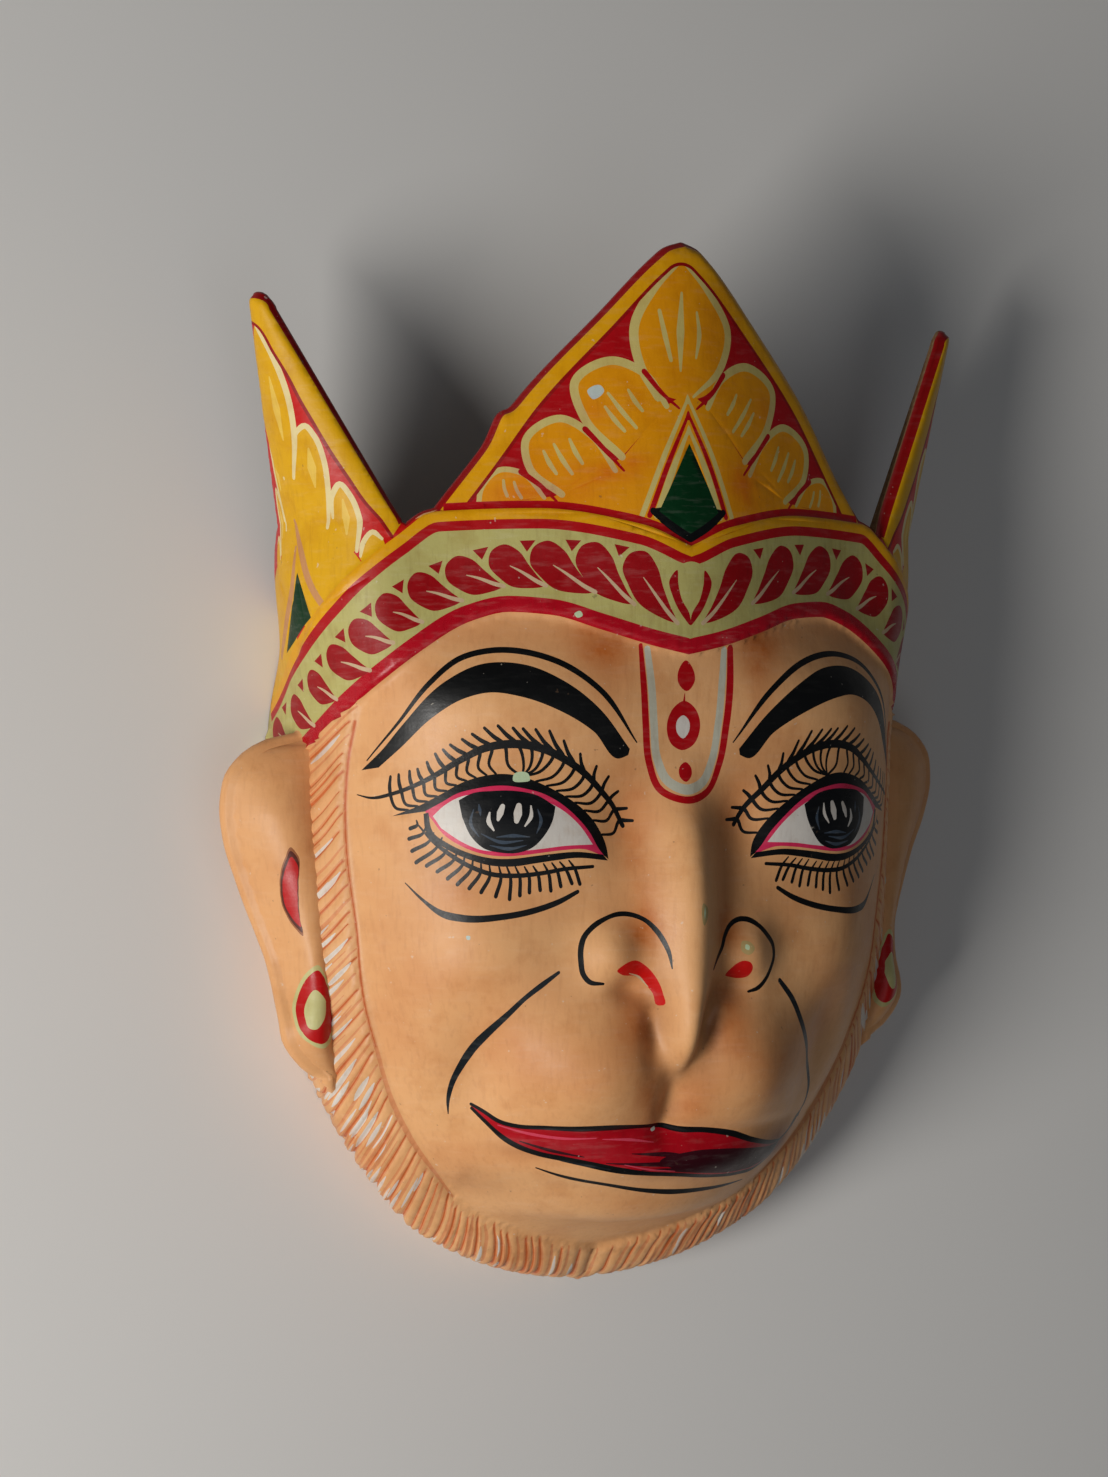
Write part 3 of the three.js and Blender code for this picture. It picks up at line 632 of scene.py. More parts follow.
def crown_paint():
    """Front peak: crimson ground, orange leaf and petals with cream edges, gem in chevrons, yellow border."""
    edge = np.vstack([CROWN_EDGES[-1][:FRONT_COUNT][::-1] * [-1, 1], CROWN_EDGE[1:FRONT_COUNT]])
    plain = smooth_line(beside(front_peak_edge, range(-74, 75, 4)))
    base = smooth_line(beside(band_top, range(-76, 77, 8), 0.4))
    inner = offset_line(plain, -5.6)
    inner = inner[(inner[:, 1] > band_top(np.abs(inner[:, 0])) - 1)]
    paint("crimson", strip(edge, base))
    paint("orange", filled([(0, 151), (9, 142), (16, 130), (13.5, 119), (6, 111), (-8, 111), (-14, 119),
        (-16, 130), (-9.5, 142)]))
    body = [(0, 112), (8, 107), (21, 92), (27, 90), (40.5, 81), (48, 80), (61, 79.5)]
    foot = [(60, 76), (30, 76), (0, 67), (-30, 76), (-60, 76)]
    paint("orange", straight([(-s, v) for s, v in body[::-1]] + body + foot))
    petals = [
        [(7, 107.5), (12.5, 116), (23, 120.5), (34, 114), (31.5, 103.5), (21, 92.5)],
        [(23, 88.5), (29.5, 98.5), (38.5, 103.5), (48.5, 97), (47.5, 89), (38.5, 81.5)],
        [(43.5, 80.5), (49.5, 87.5), (56, 88.5), (61.5, 82.5), (62, 79)],
    ]
    for petal in petals:
        paint("orange", smooth_line(petal), both=True)
    for petal, width in zip(petals, (2.5, 2.2, 1.6)):
        paint("cream", stroke(petal, [width * 0.7, width, width, width, width * 0.9]), both=True)
    paint("cream", stroke([(0, 151.5), (-9.5, 142), (-16, 130), (-14.5, 119), (-9.5, 110)],
        [2, 2.6, 2.8, 2.8, 2.6]))
    paint("cream", stroke([(0, 151.5), (9, 142), (16, 130), (12.5, 119.5), (2, 110.5)],
        [2, 2.4, 2.6, 2.4, 0.8]))
    tails = [
        [(13.5, 117.5), (8, 111), (3, 107)],
        [(31.5, 100.5), (25.5, 94), (20.5, 88.5)],
        [(50, 88), (44, 83.5), (40, 79.5)],
    ]
    for tail in tails:
        paint("crimson", stroke(tail, [1.7, 1.4, 0.7]), both=True)
    paint("cream", stroke([(-0.5, 141), (-1.5, 129), (-2, 118)], [0.8, 2.7, 0.7]))
    paint("cream", stroke([(-8, 135.5), (-6.5, 128), (-5, 121)], [1.2, 1.7, 1.2]))
    paint("cream", stroke([(4.5, 135.5), (5, 129), (3.5, 122)], [0.8, 1.7, 0.7]))
    short = [
        [(24.5, 111), (16.5, 101)], [(18.5, 112), (14.5, 106)], [(25.5, 107), (20, 100)],
        [(40.5, 96), (35.5, 87.5)], [(36, 97.5), (32.5, 90.5)], [(43.5, 94), (40, 87.5)],
        [(52, 85), (50, 80.5)], [(55, 85.5), (54, 81)],
    ]
    for k, (a, b) in enumerate(short):
        middle = ((a[0] + b[0]) / 2 + 0.3, (a[1] + b[1]) / 2)
        paint("cream", stroke([a, middle, b], [0.8, 1.5 if k < 6 else 1.0, 1.0]), both=True)
    chevrons = [(110, 15.3, 1.6, "cream"), (105.3, 13, 1.6, "crimson"), (101, 10.7, 2.1, "cream")]
    for apex, foot, width, name in chevrons:
        leg = [(0, apex), (foot * 0.52, (apex + 76) / 2 + 0.6), (foot, 75.6)]
        paint(name, stroke(leg, [0.9, width, width]), both=True)
        paint(name, filled([(0, apex + 1.2), (0.8, apex - 1.6), (-0.8, apex - 1.6)]))
    paint("black", straight([(-12.3, 77.6), (-9.6, 78), (0, 73.4), (9.6, 78), (12.3, 77.6), (9.6, 73.6),
        (0, 67.6), (-9.6, 73.6)]))
    paint("green", straight([(0, 96.8), (10.2, 76.6), (0, 70.4), (-10.2, 76.6)]))
    # Border strip with a dark red line on both sides, and the line along the foot of the crown
    paint("yellow", strip(edge, inner))
    paint("dark_red", strip(inner, offset_line(inner, -1.0)))
    paint("dark_red", strip(edge, offset_line(edge, -0.9)))
    foot = offset_line(smooth_line(beside(band_top, range(-72, 73, 8))), 1.2)
    paint("crimson", strip(offset_line(foot, 1.0), foot - [0, 1.6]))
    for hand in (1, -1):
        paint("black", stroke([(11.9 * hand, 77), (6 * hand, 72.6), (0, 69.2)], [2.0, 2.5, 2.4]))


def side_peak_paint():
    """Side peaks, painted like the front one; behind the middle line the same pattern is squeezed."""
    at = PEAK_GIRTH
    edge = CROWN_EDGE[SIDE_START:]
    low = beside(band_top, np.linspace(HALF_GIRTH, 78, 24), 0.5)
    paint("red", np.vstack([edge, low]), both=True)

    def place(points, turn):
        wide = -1 if turn < 0 else SIDE_PEAK_REAR / SIDE_PEAK_HALF
        return [(at - s * wide, v) if turn > 0 else (at + s, v) for s, v in points]

    fills = [
        [(0, 131), (-4.7, 120), (-6.8, 110), (-6.6, 100), (-3, 88), (3, 88), (6.6, 100), (6.8, 110),
         (4.7, 120)],
        [(-4.7, 93), (-7.7, 100), (-10.7, 101.5), (-13, 98.5), (-14.7, 92), (-14.7, 84), (-12.5, 74),
         (-5, 75)],
        [(-14.2, 74), (-15.7, 81.5), (-18.4, 84.5), (-21, 81), (-22.6, 75), (-22, 66), (-16, 62)],
        [(-22.7, 63), (-23.7, 67.5), (-26.5, 70.5), (-30, 68), (-28, 60)],
    ]
    outlines = [
        ([(0, 131), (-4.7, 120), (-6.8, 110), (-6.6, 99), (-3.2, 87)], 2.0),
        ([(-5.2, 93), (-7.7, 100), (-10.7, 101.5), (-13, 98.5), (-14.7, 92), (-14.7, 84), (-12.6, 72)],
         1.7),
        ([(-14.6, 75), (-15.7, 81.5), (-18.4, 84.5), (-21, 81), (-22.6, 75), (-21.8, 65)], 1.7),
        ([(-22.9, 63.5), (-23.7, 67.5), (-26.5, 70.5), (-29.5, 68.5)], 1.5),
    ]
    glows = [((-1.5, 116), (-2, 98), 3), ((-10.6, 95), (-10.6, 84), 3), ((-18.6, 80), (-18.8, 70), 2.4)]
    body = [(0, 92), (-6, 90), (-12, 78), (-15, 76), (-20, 66), (-23, 62), (-30, 66), (-26, 58), (0, 44)]
    for turn in (1, -1):
        for points in fills:
            if turn > 0:
                points = [q for q in points if q[0] <= 0]
            paint("side_yellow", filled(place(points, turn)), both=True)
        paint("side_yellow", straight(place(body, turn)), both=True)
        for points, width in outlines:
            slim = width * (0.6 if turn > 0 else 1)
            paint("pale", stroke(place(points, turn), [slim * 0.5, slim, slim, slim, slim * 0.6]),
                both=True)
        for a, b, width in glows:
            middle = ((a[0] + b[0]) / 2, (a[1] + b[1]) / 2)
            slim = width * (0.6 if turn > 0 else 1)
            paint("glow", stroke(place([a, middle, b], turn), [0.6, slim, 0.6]), both=True)
    rear_low = beside(band_top, np.linspace(HALF_GIRTH, at + 8, 12), 0.4)
    paint("side_yellow", np.vstack([[[at, 62], [at + 9, 64], [HALF_GIRTH, REAR_EDGE_Y]], rear_low]),
          both=True)
    legs = [
        [(0.5, 75), (-2.7, 64.6), (-6.7, 54.1), (-10.2, 48.6)],
        [(0, 67), (3.3, 54.6), (11.3, 45.6), (25, 35.6)],
    ]
    for leg in legs:
        paint("tan", stroke([(at + s, v) for s, v in leg], [0.8, 2.4, 2.6, 2.4]), both=True)
    gem = [(-0.5, 59.5), (-3.7, 46.5), (8, 40), (17.3, 36.5), (3.3, 51.6)]
    paint("green", straight([(at + s, v) for s, v in gem]), both=True)
    # Border strip along the front edge, its red line, and the dark red cut edge
    front = [(at + s, v) for s, v in (
        (5.3, 133.6), (-0.7, 130.6), (-4.7, 122.6), (-7.7, 116.1), (-10.7, 108.1), (-12.9, 103.1),
        (-16.9, 94.1), (-21.4, 85.6), (-25, 79.1), (-28.9, 74.1), (-32.7, 69.1))]
    top = SLOPE_COUNT + TIP_COUNT
    rising, falling = edge[:top], edge[top:]
    paint("side_yellow", np.vstack([rising, straight(front)]), both=True)
    paint("dark_red", stroke(front, [0.8, 1.0, 1.1, 1.1]), both=True)
    for part in (rising, falling):
        paint("dark_red", strip(part, offset_line(part, -0.9)), both=True)


band_paint_top = through(BAND_TOP[:4] + [(87, 69), (99, 60.5), (110, 51.5), (124, 42), (142, 32),
    (HALF_GIRTH, 21)])


def garland_leaf(side, head, point, half):
    """Fat drop of crimson with a pale hooked vein."""
    head, point = np.array(head, float), np.array(point, float)
    reach = np.hypot(*(head - point))
    axis = (head - point) / reach
    normal = np.array([-axis[1], axis[0]])
    wide = half * lerp(0.97, 1.12, float(ease(55, 85, head[0])))

    def leaf(t, across):
        bow = -0.10 * reach * math.sin(math.pi * min(max(t, 0), 1))
        x, y = point + axis * reach * t + normal * (across * wide + bow)
        return x * side, y

    far = 1 + half / reach
    outline = [
        leaf(0, 0), leaf(0.25, 0.46), leaf(0.55, 0.86), leaf(0.85, 1.05), leaf(lerp(1, far, 0.62), 0.8),
        leaf(far, 0.05), leaf(lerp(1, far, 0.66), -0.74), leaf(0.9, -1.0), leaf(0.6, -0.9),
        leaf(0.3, -0.56),
    ]
    paint("leaf", filled(outline, 0.8))
    hook = [leaf(-0.03, 0.0), leaf(0.2, 0.1), leaf(0.42, 0.22), leaf(0.64, 0.2), leaf(0.86, 0.02)]
    paint("vein", stroke(hook, [1.3, 1.2, 1.0, 0.7, 0.25], 0.8))


def band_paint():
    """Crown band: a yellow strip, a crimson line, a garland of crimson leaves on cream, a pink line."""
    marks = np.linspace(-HALF_GIRTH, HALF_GIRTH, 161)
    low = np.array(beside(band_low, marks))
    top = np.array(beside(band_paint_top, marks))
    pink_top = offset_line(low, 4.6)
    yellow_low = offset_line(top, -3.1)
    net_top = offset_line(top, -5.9)

    def clip(line):
        return line[np.abs(line[:, 0]) <= HALF_GIRTH]

    paint("net", strip(low, top))
    paint("yellow", strip(clip(yellow_low), top))
    paint("crimson", strip(clip(net_top), clip(yellow_low)))
    paint("rose", strip(low, clip(pink_top)))
    # Middle of each leaf's round head, its point, and half its breadth, on the left and on the right
    left = [
        ((16, 60.3), (4.6, 45), 5.2), ((29.5, 62.6), (18, 50.2), 5.3), ((42.5, 62.9), (29.5, 53.5), 5.3),
        ((54.5, 62.2), (43.5, 55.2), 4.9), ((67, 59), (55.5, 54.9), 4.7), ((79, 54.2), (67.5, 50.6), 4.4),
        ((90, 48.2), (80, 44.4), 4.3), ((99.5, 41.4), (90, 38.6), 4.1), ((109.5, 34.4), (98.5, 31), 4.0),
        ((121.5, 27.4), (112.5, 22.8), 3.8), ((135, 20.4), (124.5, 15), 3.6),
        ((150, 13.8), (138, 8.4), 3.3),
    ]
    right = [
        ((18, 60.2), (4.6, 45.1), 5.4), ((36, 62.8), (23.5, 51.1), 5.6), ((53.5, 63.4), (41.5, 54.6), 5.6),
        ((69.5, 61.4), (57.5, 54.6), 5.2), ((82.5, 55.6), (71.5, 50.4), 4.8),
        ((94, 47.4), (84.5, 43.4), 4.4), ((104.5, 38.6), (95, 35), 4.2), ((115.5, 31), (106, 26.6), 4.0),
        ((127.5, 24), (118, 19), 3.7), ((140, 18.4), (130.5, 12.6), 3.5), ((152, 13), (143, 7), 3.2),
    ]
    for side, leaves in ((-1, left), (1, right)):
        for head, point, half in leaves:
            garland_leaf(side, head, point, half)
        for (a, _, half), (b, _, _) in zip(leaves[:-1], leaves[1:]):
            a, b = np.array(a, float), np.array(b, float)
            along = (b - a) / np.hypot(*(b - a))
            up = np.array([-along[1], along[0]])
            middle = (a + b) / 2 + up * half * 0.86 - along * 0.5
            corners = [middle + along * x + up * y for x, y in ((-2.3, 1.0), (2.2, 1.1), (0.3, -2.2))]
            paint("leaf", straight([(x * side, y) for x, y in corners]))
    # Drop between two slivers in the middle
    paint("net", filled([(0, 62.5), (5.5, 60), (7.5, 55), (4, 48), (0, 43.5), (-4, 48), (-7.5, 55),
        (-5.5, 60)]))
    sliver = [(4.6, 60), (7, 57), (5.8, 52), (2.5, 46.5), (0, 44), (0.3, 47), (3, 51.5), (4.2, 56)]
    paint("leaf", filled(sliver, 0.8), both=True)


def forehead_mark_paint():
    """A red and grey-white U below the band, with red drops and a ring down its middle."""
    red = [(-15.5, 38), (-14.8, 27), (-13.8, 15), (-12, 3.5), (-8.5, -3.8), (0, -6.8), (8.5, -3.8),
        (12, 3.5), (13.8, 15), (14.8, 27), (15.3, 37.5)]
    white = [(-13.4, 37), (-12.2, 27), (-11, 15), (-9.3, 4.5), (-6.2, -1.2), (0, -3.8), (6.2, -1.4),
        (9.3, 4.5), (11, 15), (12, 27), (13, 37)]
    paint("ash", stroke(white, [2, 2.5, 2.6, 2.6, 2.8, 3.0, 2.8, 2.4, 2.4, 2.4, 2.0]))
    paint("crimson", stroke(red, [1.3, 2.1, 2.3, 2.3, 2.1, 2.1, 2.1, 2.3, 2.4, 2.4, 2.2]))
    paint("crimson", filled([(-0.5, 33.8), (2.4, 30.4), (2.7, 28), (0, 24.8), (-3, 27.2), (-3.2, 30.2)]))
    ring = [(-0.8, 22), (2.8, 20), (4.9, 15), (2.8, 9.2), (-1, 7.6), (-4.8, 9.4), (-6.6, 14.6),
        (-4.6, 19.8)]
    paint("crimson", filled(ring))
    paint("crimson", stroke([(-0.9, 21), (-0.7, 24.2)], [1.0, 0.2]))
    paint("white", filled([(-1, 17.8), (0.9, 16.4), (1.1, 13), (-0.8, 11), (-2.9, 12.6), (-3, 16.4)]))
    paint("crimson", filled([(0, 4.2), (1.8, 2.6), (2, 0.6), (-0.2, -1.6), (-2.2, 0), (-2.2, 2.6)]))


def brow_paint():
    top = [(104.5, 1.8), (97, 7.5), (90, 14.5), (75, 27), (63, 32), (51, 31.6), (40, 27), (29, 19.2),
        (18.8, 8)]
    low = [(19.2, 6.2), (22, 5.2), (31, 13), (44, 19.6), (54, 22.6), (62, 23.6), (70, 22), (80, 16.8),
        (91, 7.8), (98, 2.6)]
    paint("black", np.vstack([smooth_line(top), smooth_line(low)]), both=True)
    line = [(102.5, 4.5), (91, 15.5), (80, 26.5), (69, 34), (60, 36), (42, 33), (29, 24.8), (16.5, 9.8)]
    paint("black", stroke(line, [0.4, 0.9, 1.5, 1.7, 1.9, 1.9, 1.7, 0.4]), both=True)


def eye_paint():
    """Painted eye: black lids, pink rims, big dark iris with painted blue-grey sheen, combs of lashes."""
    lid_top = [(93.5, -11.4), (83.5, -7.9), (77, -4.7), (71, -1.6), (65, 0.2), (58.5, 0.9), (52.5, 0),
        (46.5, -2.2), (40, -5.4), (34, -9.4), (29, -14.4), (25.6, -20.4), (25, -24)]
    lid_low = [(82.5, -9.9), (77, -7.1), (72.5, -4.7), (67, -3.3), (58.5, -2.4), (52.5, -3.2), (46.5, -4.8),
        (41.5, -7.4), (36, -11.7), (31.5, -16.4), (28.5, -20.8), (26.5, -23)]
    pink_low = [(80.5, -12), (77, -16.2), (71, -19.9), (65, -21.9), (59, -22.6), (53, -22.3), (46.5, -21.6),
        (40, -21), (33.5, -20.9), (28, -22.6)]
    paint("pink", strip(smooth_line(lid_low), smooth_line(pink_low)), both=True)
    white = [(80, -11.2), (76.5, -8.2), (72, -5.8), (66, -4.6), (58, -4.1), (50, -4.8), (45, -7.2),
        (40, -10), (35, -14.2), (30.6, -19.6), (40, -19.8), (48, -20.6), (58, -21.2), (66, -20.6),
        (71, -18.6), (77.5, -14.6)]
    paint("white", np.vstack([smooth_line(white[:10]), smooth_line(white[9:])[1:]]), both=True)
    iris = [(72, -6.6), (68, -4.6), (62, -3.9), (55, -3.9), (48.5, -5.2), (43, -8.4), (44, -12.4),
        (46.5, -16.6), (50, -20), (54.5, -21.6), (60, -21.5), (64.5, -20.4), (68.3, -17), (71, -11.4)]
    paint("iris", np.vstack([smooth_line(iris[:6]), smooth_line(iris[5:])[1:], [iris[0]]]), both=True)
    # Painted sheen: thin blue-grey strokes on the black iris
    sheens = [
        [(67.5, -9), (68.5, -13), (66, -17)], [(65.5, -16), (60, -18.4), (53, -18)],
        [(63, -19.4), (57, -20.4), (52, -19.4)], [(48.6, -9), (47.6, -12.4), (49, -16)],
        [(66, -7.6), (65.5, -11)], [(51, -17), (56, -16.6), (61, -17)],
    ]
    for mark in sheens:
        paint("sheen", stroke(mark, [0.2, 1.1, 0.2]), both=True)
    glints = [
        ([(62.8, -9.8), (63.2, -12.4), (61.6, -15.2)], [0.4, 1.5, 0.4]),
        ([(59, -8.2), (59.8, -10.2), (60.4, -12)], [1.4, 2.0, 0.9]),
        ([(54.2, -8.1), (54.6, -10.4), (55, -12.4)], [1.7, 2.6, 1.5]),
        ([(50.6, -8), (50.6, -11), (52.6, -14)], [0.4, 1.3, 0.4]),
    ]
    for line, widths in glints:
        paint("white", stroke(line, widths), both=True)
    paint("black", strip(smooth_line(lid_top), smooth_line(lid_low)), both=True)
    lash_top = [(81.4, -10.2), (80.2, -15.6), (75, -19.2), (68, -22), (62, -23.2), (56, -23.3),
        (49.5, -22.6), (43.5, -22), (36.5, -21.6), (27, -22.6)]
    lash_low = [(83, -10.6), (82.3, -15.8), (76, -20.6), (68.5, -23.8), (62, -25.4), (56, -25.6),
        (49.5, -24.8), (43, -24), (36.5, -23.4), (25.2, -24.4)]
    paint("black", strip(smooth_line(lash_top), smooth_line(lash_low)), both=True)
    arch = [(106.5, -5.3), (101, -6.2), (93.5, -5), (87, -3), (80.5, -0.2), (71, 5.1), (65, 8), (59, 9.3),
        (52.5, 9.3), (46.5, 8), (40, 5.1), (33.5, 1), (28, -4), (23, -9), (19.5, -14.5)]
    paint("black", stroke(arch, [0.3, 1.0, 1.2, 1.5, 1.9, 2.3, 2.5, 2.4, 2.2, 2.0, 1.7, 1.4]), both=True)
    low_arch = [(85, -13.6), (80.5, -18.2), (75.5, -21.9), (68, -26), (62, -27.9), (56, -28.3),
        (46.5, -27.6), (40, -26.6), (30.5, -26)]
    paint("black", stroke(low_arch, [0.5, 1.2, 1.4, 1.4, 1.4, 1.3, 1.2, 1.0]), both=True)
    under = [(90, -30.6), (84.5, -35.2), (78, -39.2), (71.5, -40.4), (59.5, -40), (49.5, -38.4),
        (41, -35.8), (35.5, -33.2)]
    paint("black", stroke(under, [0.3, 1.0, 2.2, 2.0, 1.8, 1.8, 1.7, 1.2]), both=True)
    # Upper lashes cross the arch and curve down to the lid
    tips = [(93.8, 0), (91, 0.6), (87.4, 1.6), (84.8, 2.2), (81.8, 4.2), (79.2, 6.6), (76.8, 7.8),
        (74.6, 9.2), (71, 10.8), (68, 12.3), (64.4, 14), (60.4, 14.6), (56, 14), (53, 13.8), (49.2, 13.6),
        (45, 13.2), (40.4, 10.4), (35, 6.6), (29.6, 3), (25.4, 0), (21.8, -4.4), (18.4, -9.4), (16.4, -13)]
    crossings = smooth_line(arch, 0.5)
    roots = smooth_line(lid_top[:-1], 0.5)
    gather_from, gather_to = 0.42, 0.66
    for k, tip in enumerate(tips):
        share = k / (len(tips) - 1)
        cross = crossings[int(lerp(0.135, 0.985, share) * (len(crossings) - 1))]
        # The lashes over the iris gather at one place on the lid
        if share < gather_from:
            root_at = lerp(88, 60, share / gather_from)
        elif share < gather_to:
            root_at = 53.0
        else:
            root_at = lerp(50, 27.5, (share - gather_to) / (1 - gather_to))
        root = roots[np.argmin(np.abs(roots[:, 0] - root_at) + (roots[:, 1] < -22) * 50)]
        bow = np.array([1.3 if share < 0.5 else -1.2, -1.6])
        middle = (cross + root) / 2 + bow
        line = [tip, tuple((np.array(tip) + cross) / 2 + [0.3, 0]), tuple(cross), tuple(middle),
                tuple(root)]
        paint("black", stroke(line, [0.9, 1.3, 1.1, 0.9, 0.7], 0.9), both=True)
    low_tips = [(87.5, -14.9), (88, -17.9), (87.2, -21.4), (86, -24.7), (82.6, -25.6), (79.2, -27.2),
        (76, -29.2), (73, -30.8), (69.4, -31.9), (65.8, -33), (61.4, -34.2), (57.2, -35), (54, -34),
        (51, -33.2), (47.6, -32.6), (44.2, -32.8), (41, -31.6), (37.4, -30.8), (34.8, -31)]
    low_crossings = smooth_line(low_arch, 0.5)
    for k, tip in enumerate(low_tips):
        share = k / (len(low_tips) - 1)
        cross = low_crossings[int(lerp(0.0, 0.9, share) * (len(low_crossings) - 1))]
        start = cross + (cross - np.array(tip)) * 0.35 + [1.2, 0.6]
        paint("black", stroke([tuple(start), tuple(cross), tip], [0.5, 1.1, 1.2], 0.9), both=True)


def nose_and_mouth_paint():
    arc = [(-7, -55), (-8, -50.4), (-9, -48), (-11, -44.6), (-14, -41.6), (-18, -40), (-23, -39.8),
        (-27, -41), (-31.5, -43.6), (-34, -46.4), (-35, -49.8), (-34.8, -53.4), (-34, -56.8), (-32, -59),
        (-27.6, -59.6)]
    paint("black", stroke(arc, [0.3, 1.0, 1.4, 1.5, 1.3, 1.4, 1.4, 1.2, 1.5, 1.5, 1.7, 1.7, 1.6, 1.5, 0.8]))
    arc = [(8.4, -55.6), (10.5, -52.4), (12.3, -49.8), (13.6, -46.4), (15.8, -43.6), (19.2, -42),
        (23.4, -42.2), (27, -44), (30.4, -46.9), (33.2, -49.9), (33.8, -53.4), (32.6, -56.6), (30.5, -60),
        (28, -62.2), (24.4, -63.4)]
    paint("black", stroke(arc, [0.8, 1.3, 1.5, 1.5, 1.4, 1.5, 1.6, 1.5, 1.7, 1.7, 1.5, 1.5, 1.5, 1.4, 0.7]))
    paint("red", filled([(-24, -55.6), (-21.9, -53.8), (-17.9, -52.8), (-13.9, -54.6), (-10.4, -58.2),
        (-8.3, -62.4), (-7.6, -66), (-8.9, -66.3), (-10.6, -62.8), (-12.9, -60.2), (-17.3, -57.6),
        (-21.8, -57)]))
    paint("vein", stroke([(-19.5, -56.6), (-15.5, -58), (-12, -61)], [0.2, 0.7, 0.2]))
    paint("red", filled([(15.6, -58.4), (17.4, -55.4), (19.9, -53.8), (22.6, -54.2), (24, -56),
        (23.4, -58.6), (20.8, -59.4), (17.6, -59)]))
    fold = [(-41.6, -56.4), (-46.3, -59.6), (-51.7, -63.6), (-56.9, -68.8), (-62.4, -74.4), (-67.4, -80),
        (-70.8, -85.4), (-73.1, -90.6), (-73.8, -96.4), (-73.2, -100.4)]
    paint("slate", stroke(fold, [1.0, 1.7, 1.5, 1.8, 2.3, 2.8, 2.8, 2.2, 1.6, 0.3]))
    fold = [(37.3, -60.6), (42.7, -65.9), (47.5, -72.6), (52.6, -79), (60.4, -86.6), (66.6, -92.6),
        (69.7, -97), (70.6, -101), (69.4, -106.4)]
    paint("slate", stroke(fold, [1.5, 2.0, 2.1, 2.2, 2.3, 2.2, 1.8, 1.5, 1.2]))
    upper = [(-66, -97.2), (-61, -99.2), (-55.6, -101.6), (-49.6, -102.6), (-40.5, -102.2), (-31.8, -102),
        (-22.6, -101.8), (-10, -102.9), (3.7, -105.4), (13.9, -105.3), (24.3, -106.6), (33.7, -109.2),
        (46.7, -112), (54, -112.6)]
    lower = [(-65.6, -98.4), (-60.2, -102.2), (-54.8, -106.2), (-48, -109.2), (-41.2, -110.9),
        (-33.1, -112), (-24.6, -113.5), (-15.9, -115.2), (-3.7, -116.9), (7, -118), (19.9, -120.3),
        (34.3, -122.2), (46, -121.8), (51.6, -118), (54, -112.6)]
    paint("lips", strip(smooth_line(upper), smooth_line(lower)))
    # Painted shade: a near-black patch over the lips' right half
    paint("lip_dark", filled([(-2, -113.4), (9.5, -110.8), (20.5, -110.6), (36.2, -112.1), (47, -113.4),
        (53.4, -113.6), (50.6, -117.6), (44, -120.6), (33.1, -120.8), (17, -118.4), (6, -116.4)]))
    ragged = [0.2, 0.9, 1.4, 0.6]
    # Dark streaks are painted shade feathering the patch into the red; pale pink strokes are painted
    # highlights along the lit left half of the lips
    lip_strokes = [
        ("lip_dark", [(-20, -113), (-10, -113.6), (0, -114.2), (10, -115)], ragged),
        ("lip_dark", [(-12, -110.6), (0, -111.6), (10, -112.4)], ragged),
        ("lip_dark", [(-8, -115.4), (4, -116), (16, -117.4)], ragged),
        ("lip_dark", [(-48, -107.6), (-38, -109.6), (-27, -111.2)], [0.3, 1.0, 0.3]),
        ("lip_light", [(-56, -102.9), (-46, -105), (-36, -106), (-24, -106)], [0.3, 1.0, 0.8, 0.3]),
        ("lip_light", [(-22, -106.4), (-12, -107.2), (-4, -108.4)], [0.2, 0.7, 0.2]),
        ("lip_light", [(-14, -113.6), (-4, -115.6), (4, -116.4)], [0.2, 0.6, 0.2]),
    ]
    for name, line, widths in lip_strokes:
        paint(name, stroke(line, widths))
    paint("black", stroke(upper, [0.9, 1.3, 1.6, 1.7, 2.3, 2.2, 1.6, 1.5, 1.9, 1.9, 1.8, 1.6, 1.4, 1.0]))
    paint("black", stroke(lower, [0.9, 1.3, 1.5, 1.5, 1.6, 2.0, 2.0, 1.5, 1.5, 1.6, 1.5, 1.7, 1.9, 1.8,
        1.0]))
    # Painted sheen: slate grey dashes along the black lip lines on their lit left half
    paint("slate", stroke([(-46, -102.9), (-36, -102.5), (-26, -102.3)], [0.3, 0.9, 0.3]))
    paint("slate", stroke([(-34, -112.6), (-27, -113.6), (-18, -115)], [0.3, 0.9, 0.3]))
    paint("black", stroke([(54, -112.6), (60, -110.8), (66, -107.6), (69.6, -105.4)], [1.0, 1.0, 1.8, 1.4]))
    paint("black", stroke([(-41, -115.6), (-31.3, -118.4), (-17.6, -121.2), (-4.9, -123.8), (6.2, -125.2),
        (17.7, -126), (29.7, -126.8), (42, -127)], [0.4, 1.3, 1.3, 1.5, 1.9, 1.6, 1.3, 0.4]))


def ruff_line(start, end, origin, side, rng, waver=0.3):
    """Line down one tuft, from its place across the ruff at the start to its place at the end."""
    line = []
    for t in (0, 0.25, 0.5, 0.75, 1.0):
        q = lerp(start, end, t)
        here = tuft_place(origin, q) + rng.uniform(-waver, waver)
        s, v = ring_point(max(here, 0.0), q)
        line.append((float(s) * side, float(v)))
    return line


# Along the ruff: it lies under the chin up to the first place, and past the second it is seldom whitish
UNDER_CHIN, WHITISH_END = 95, 190


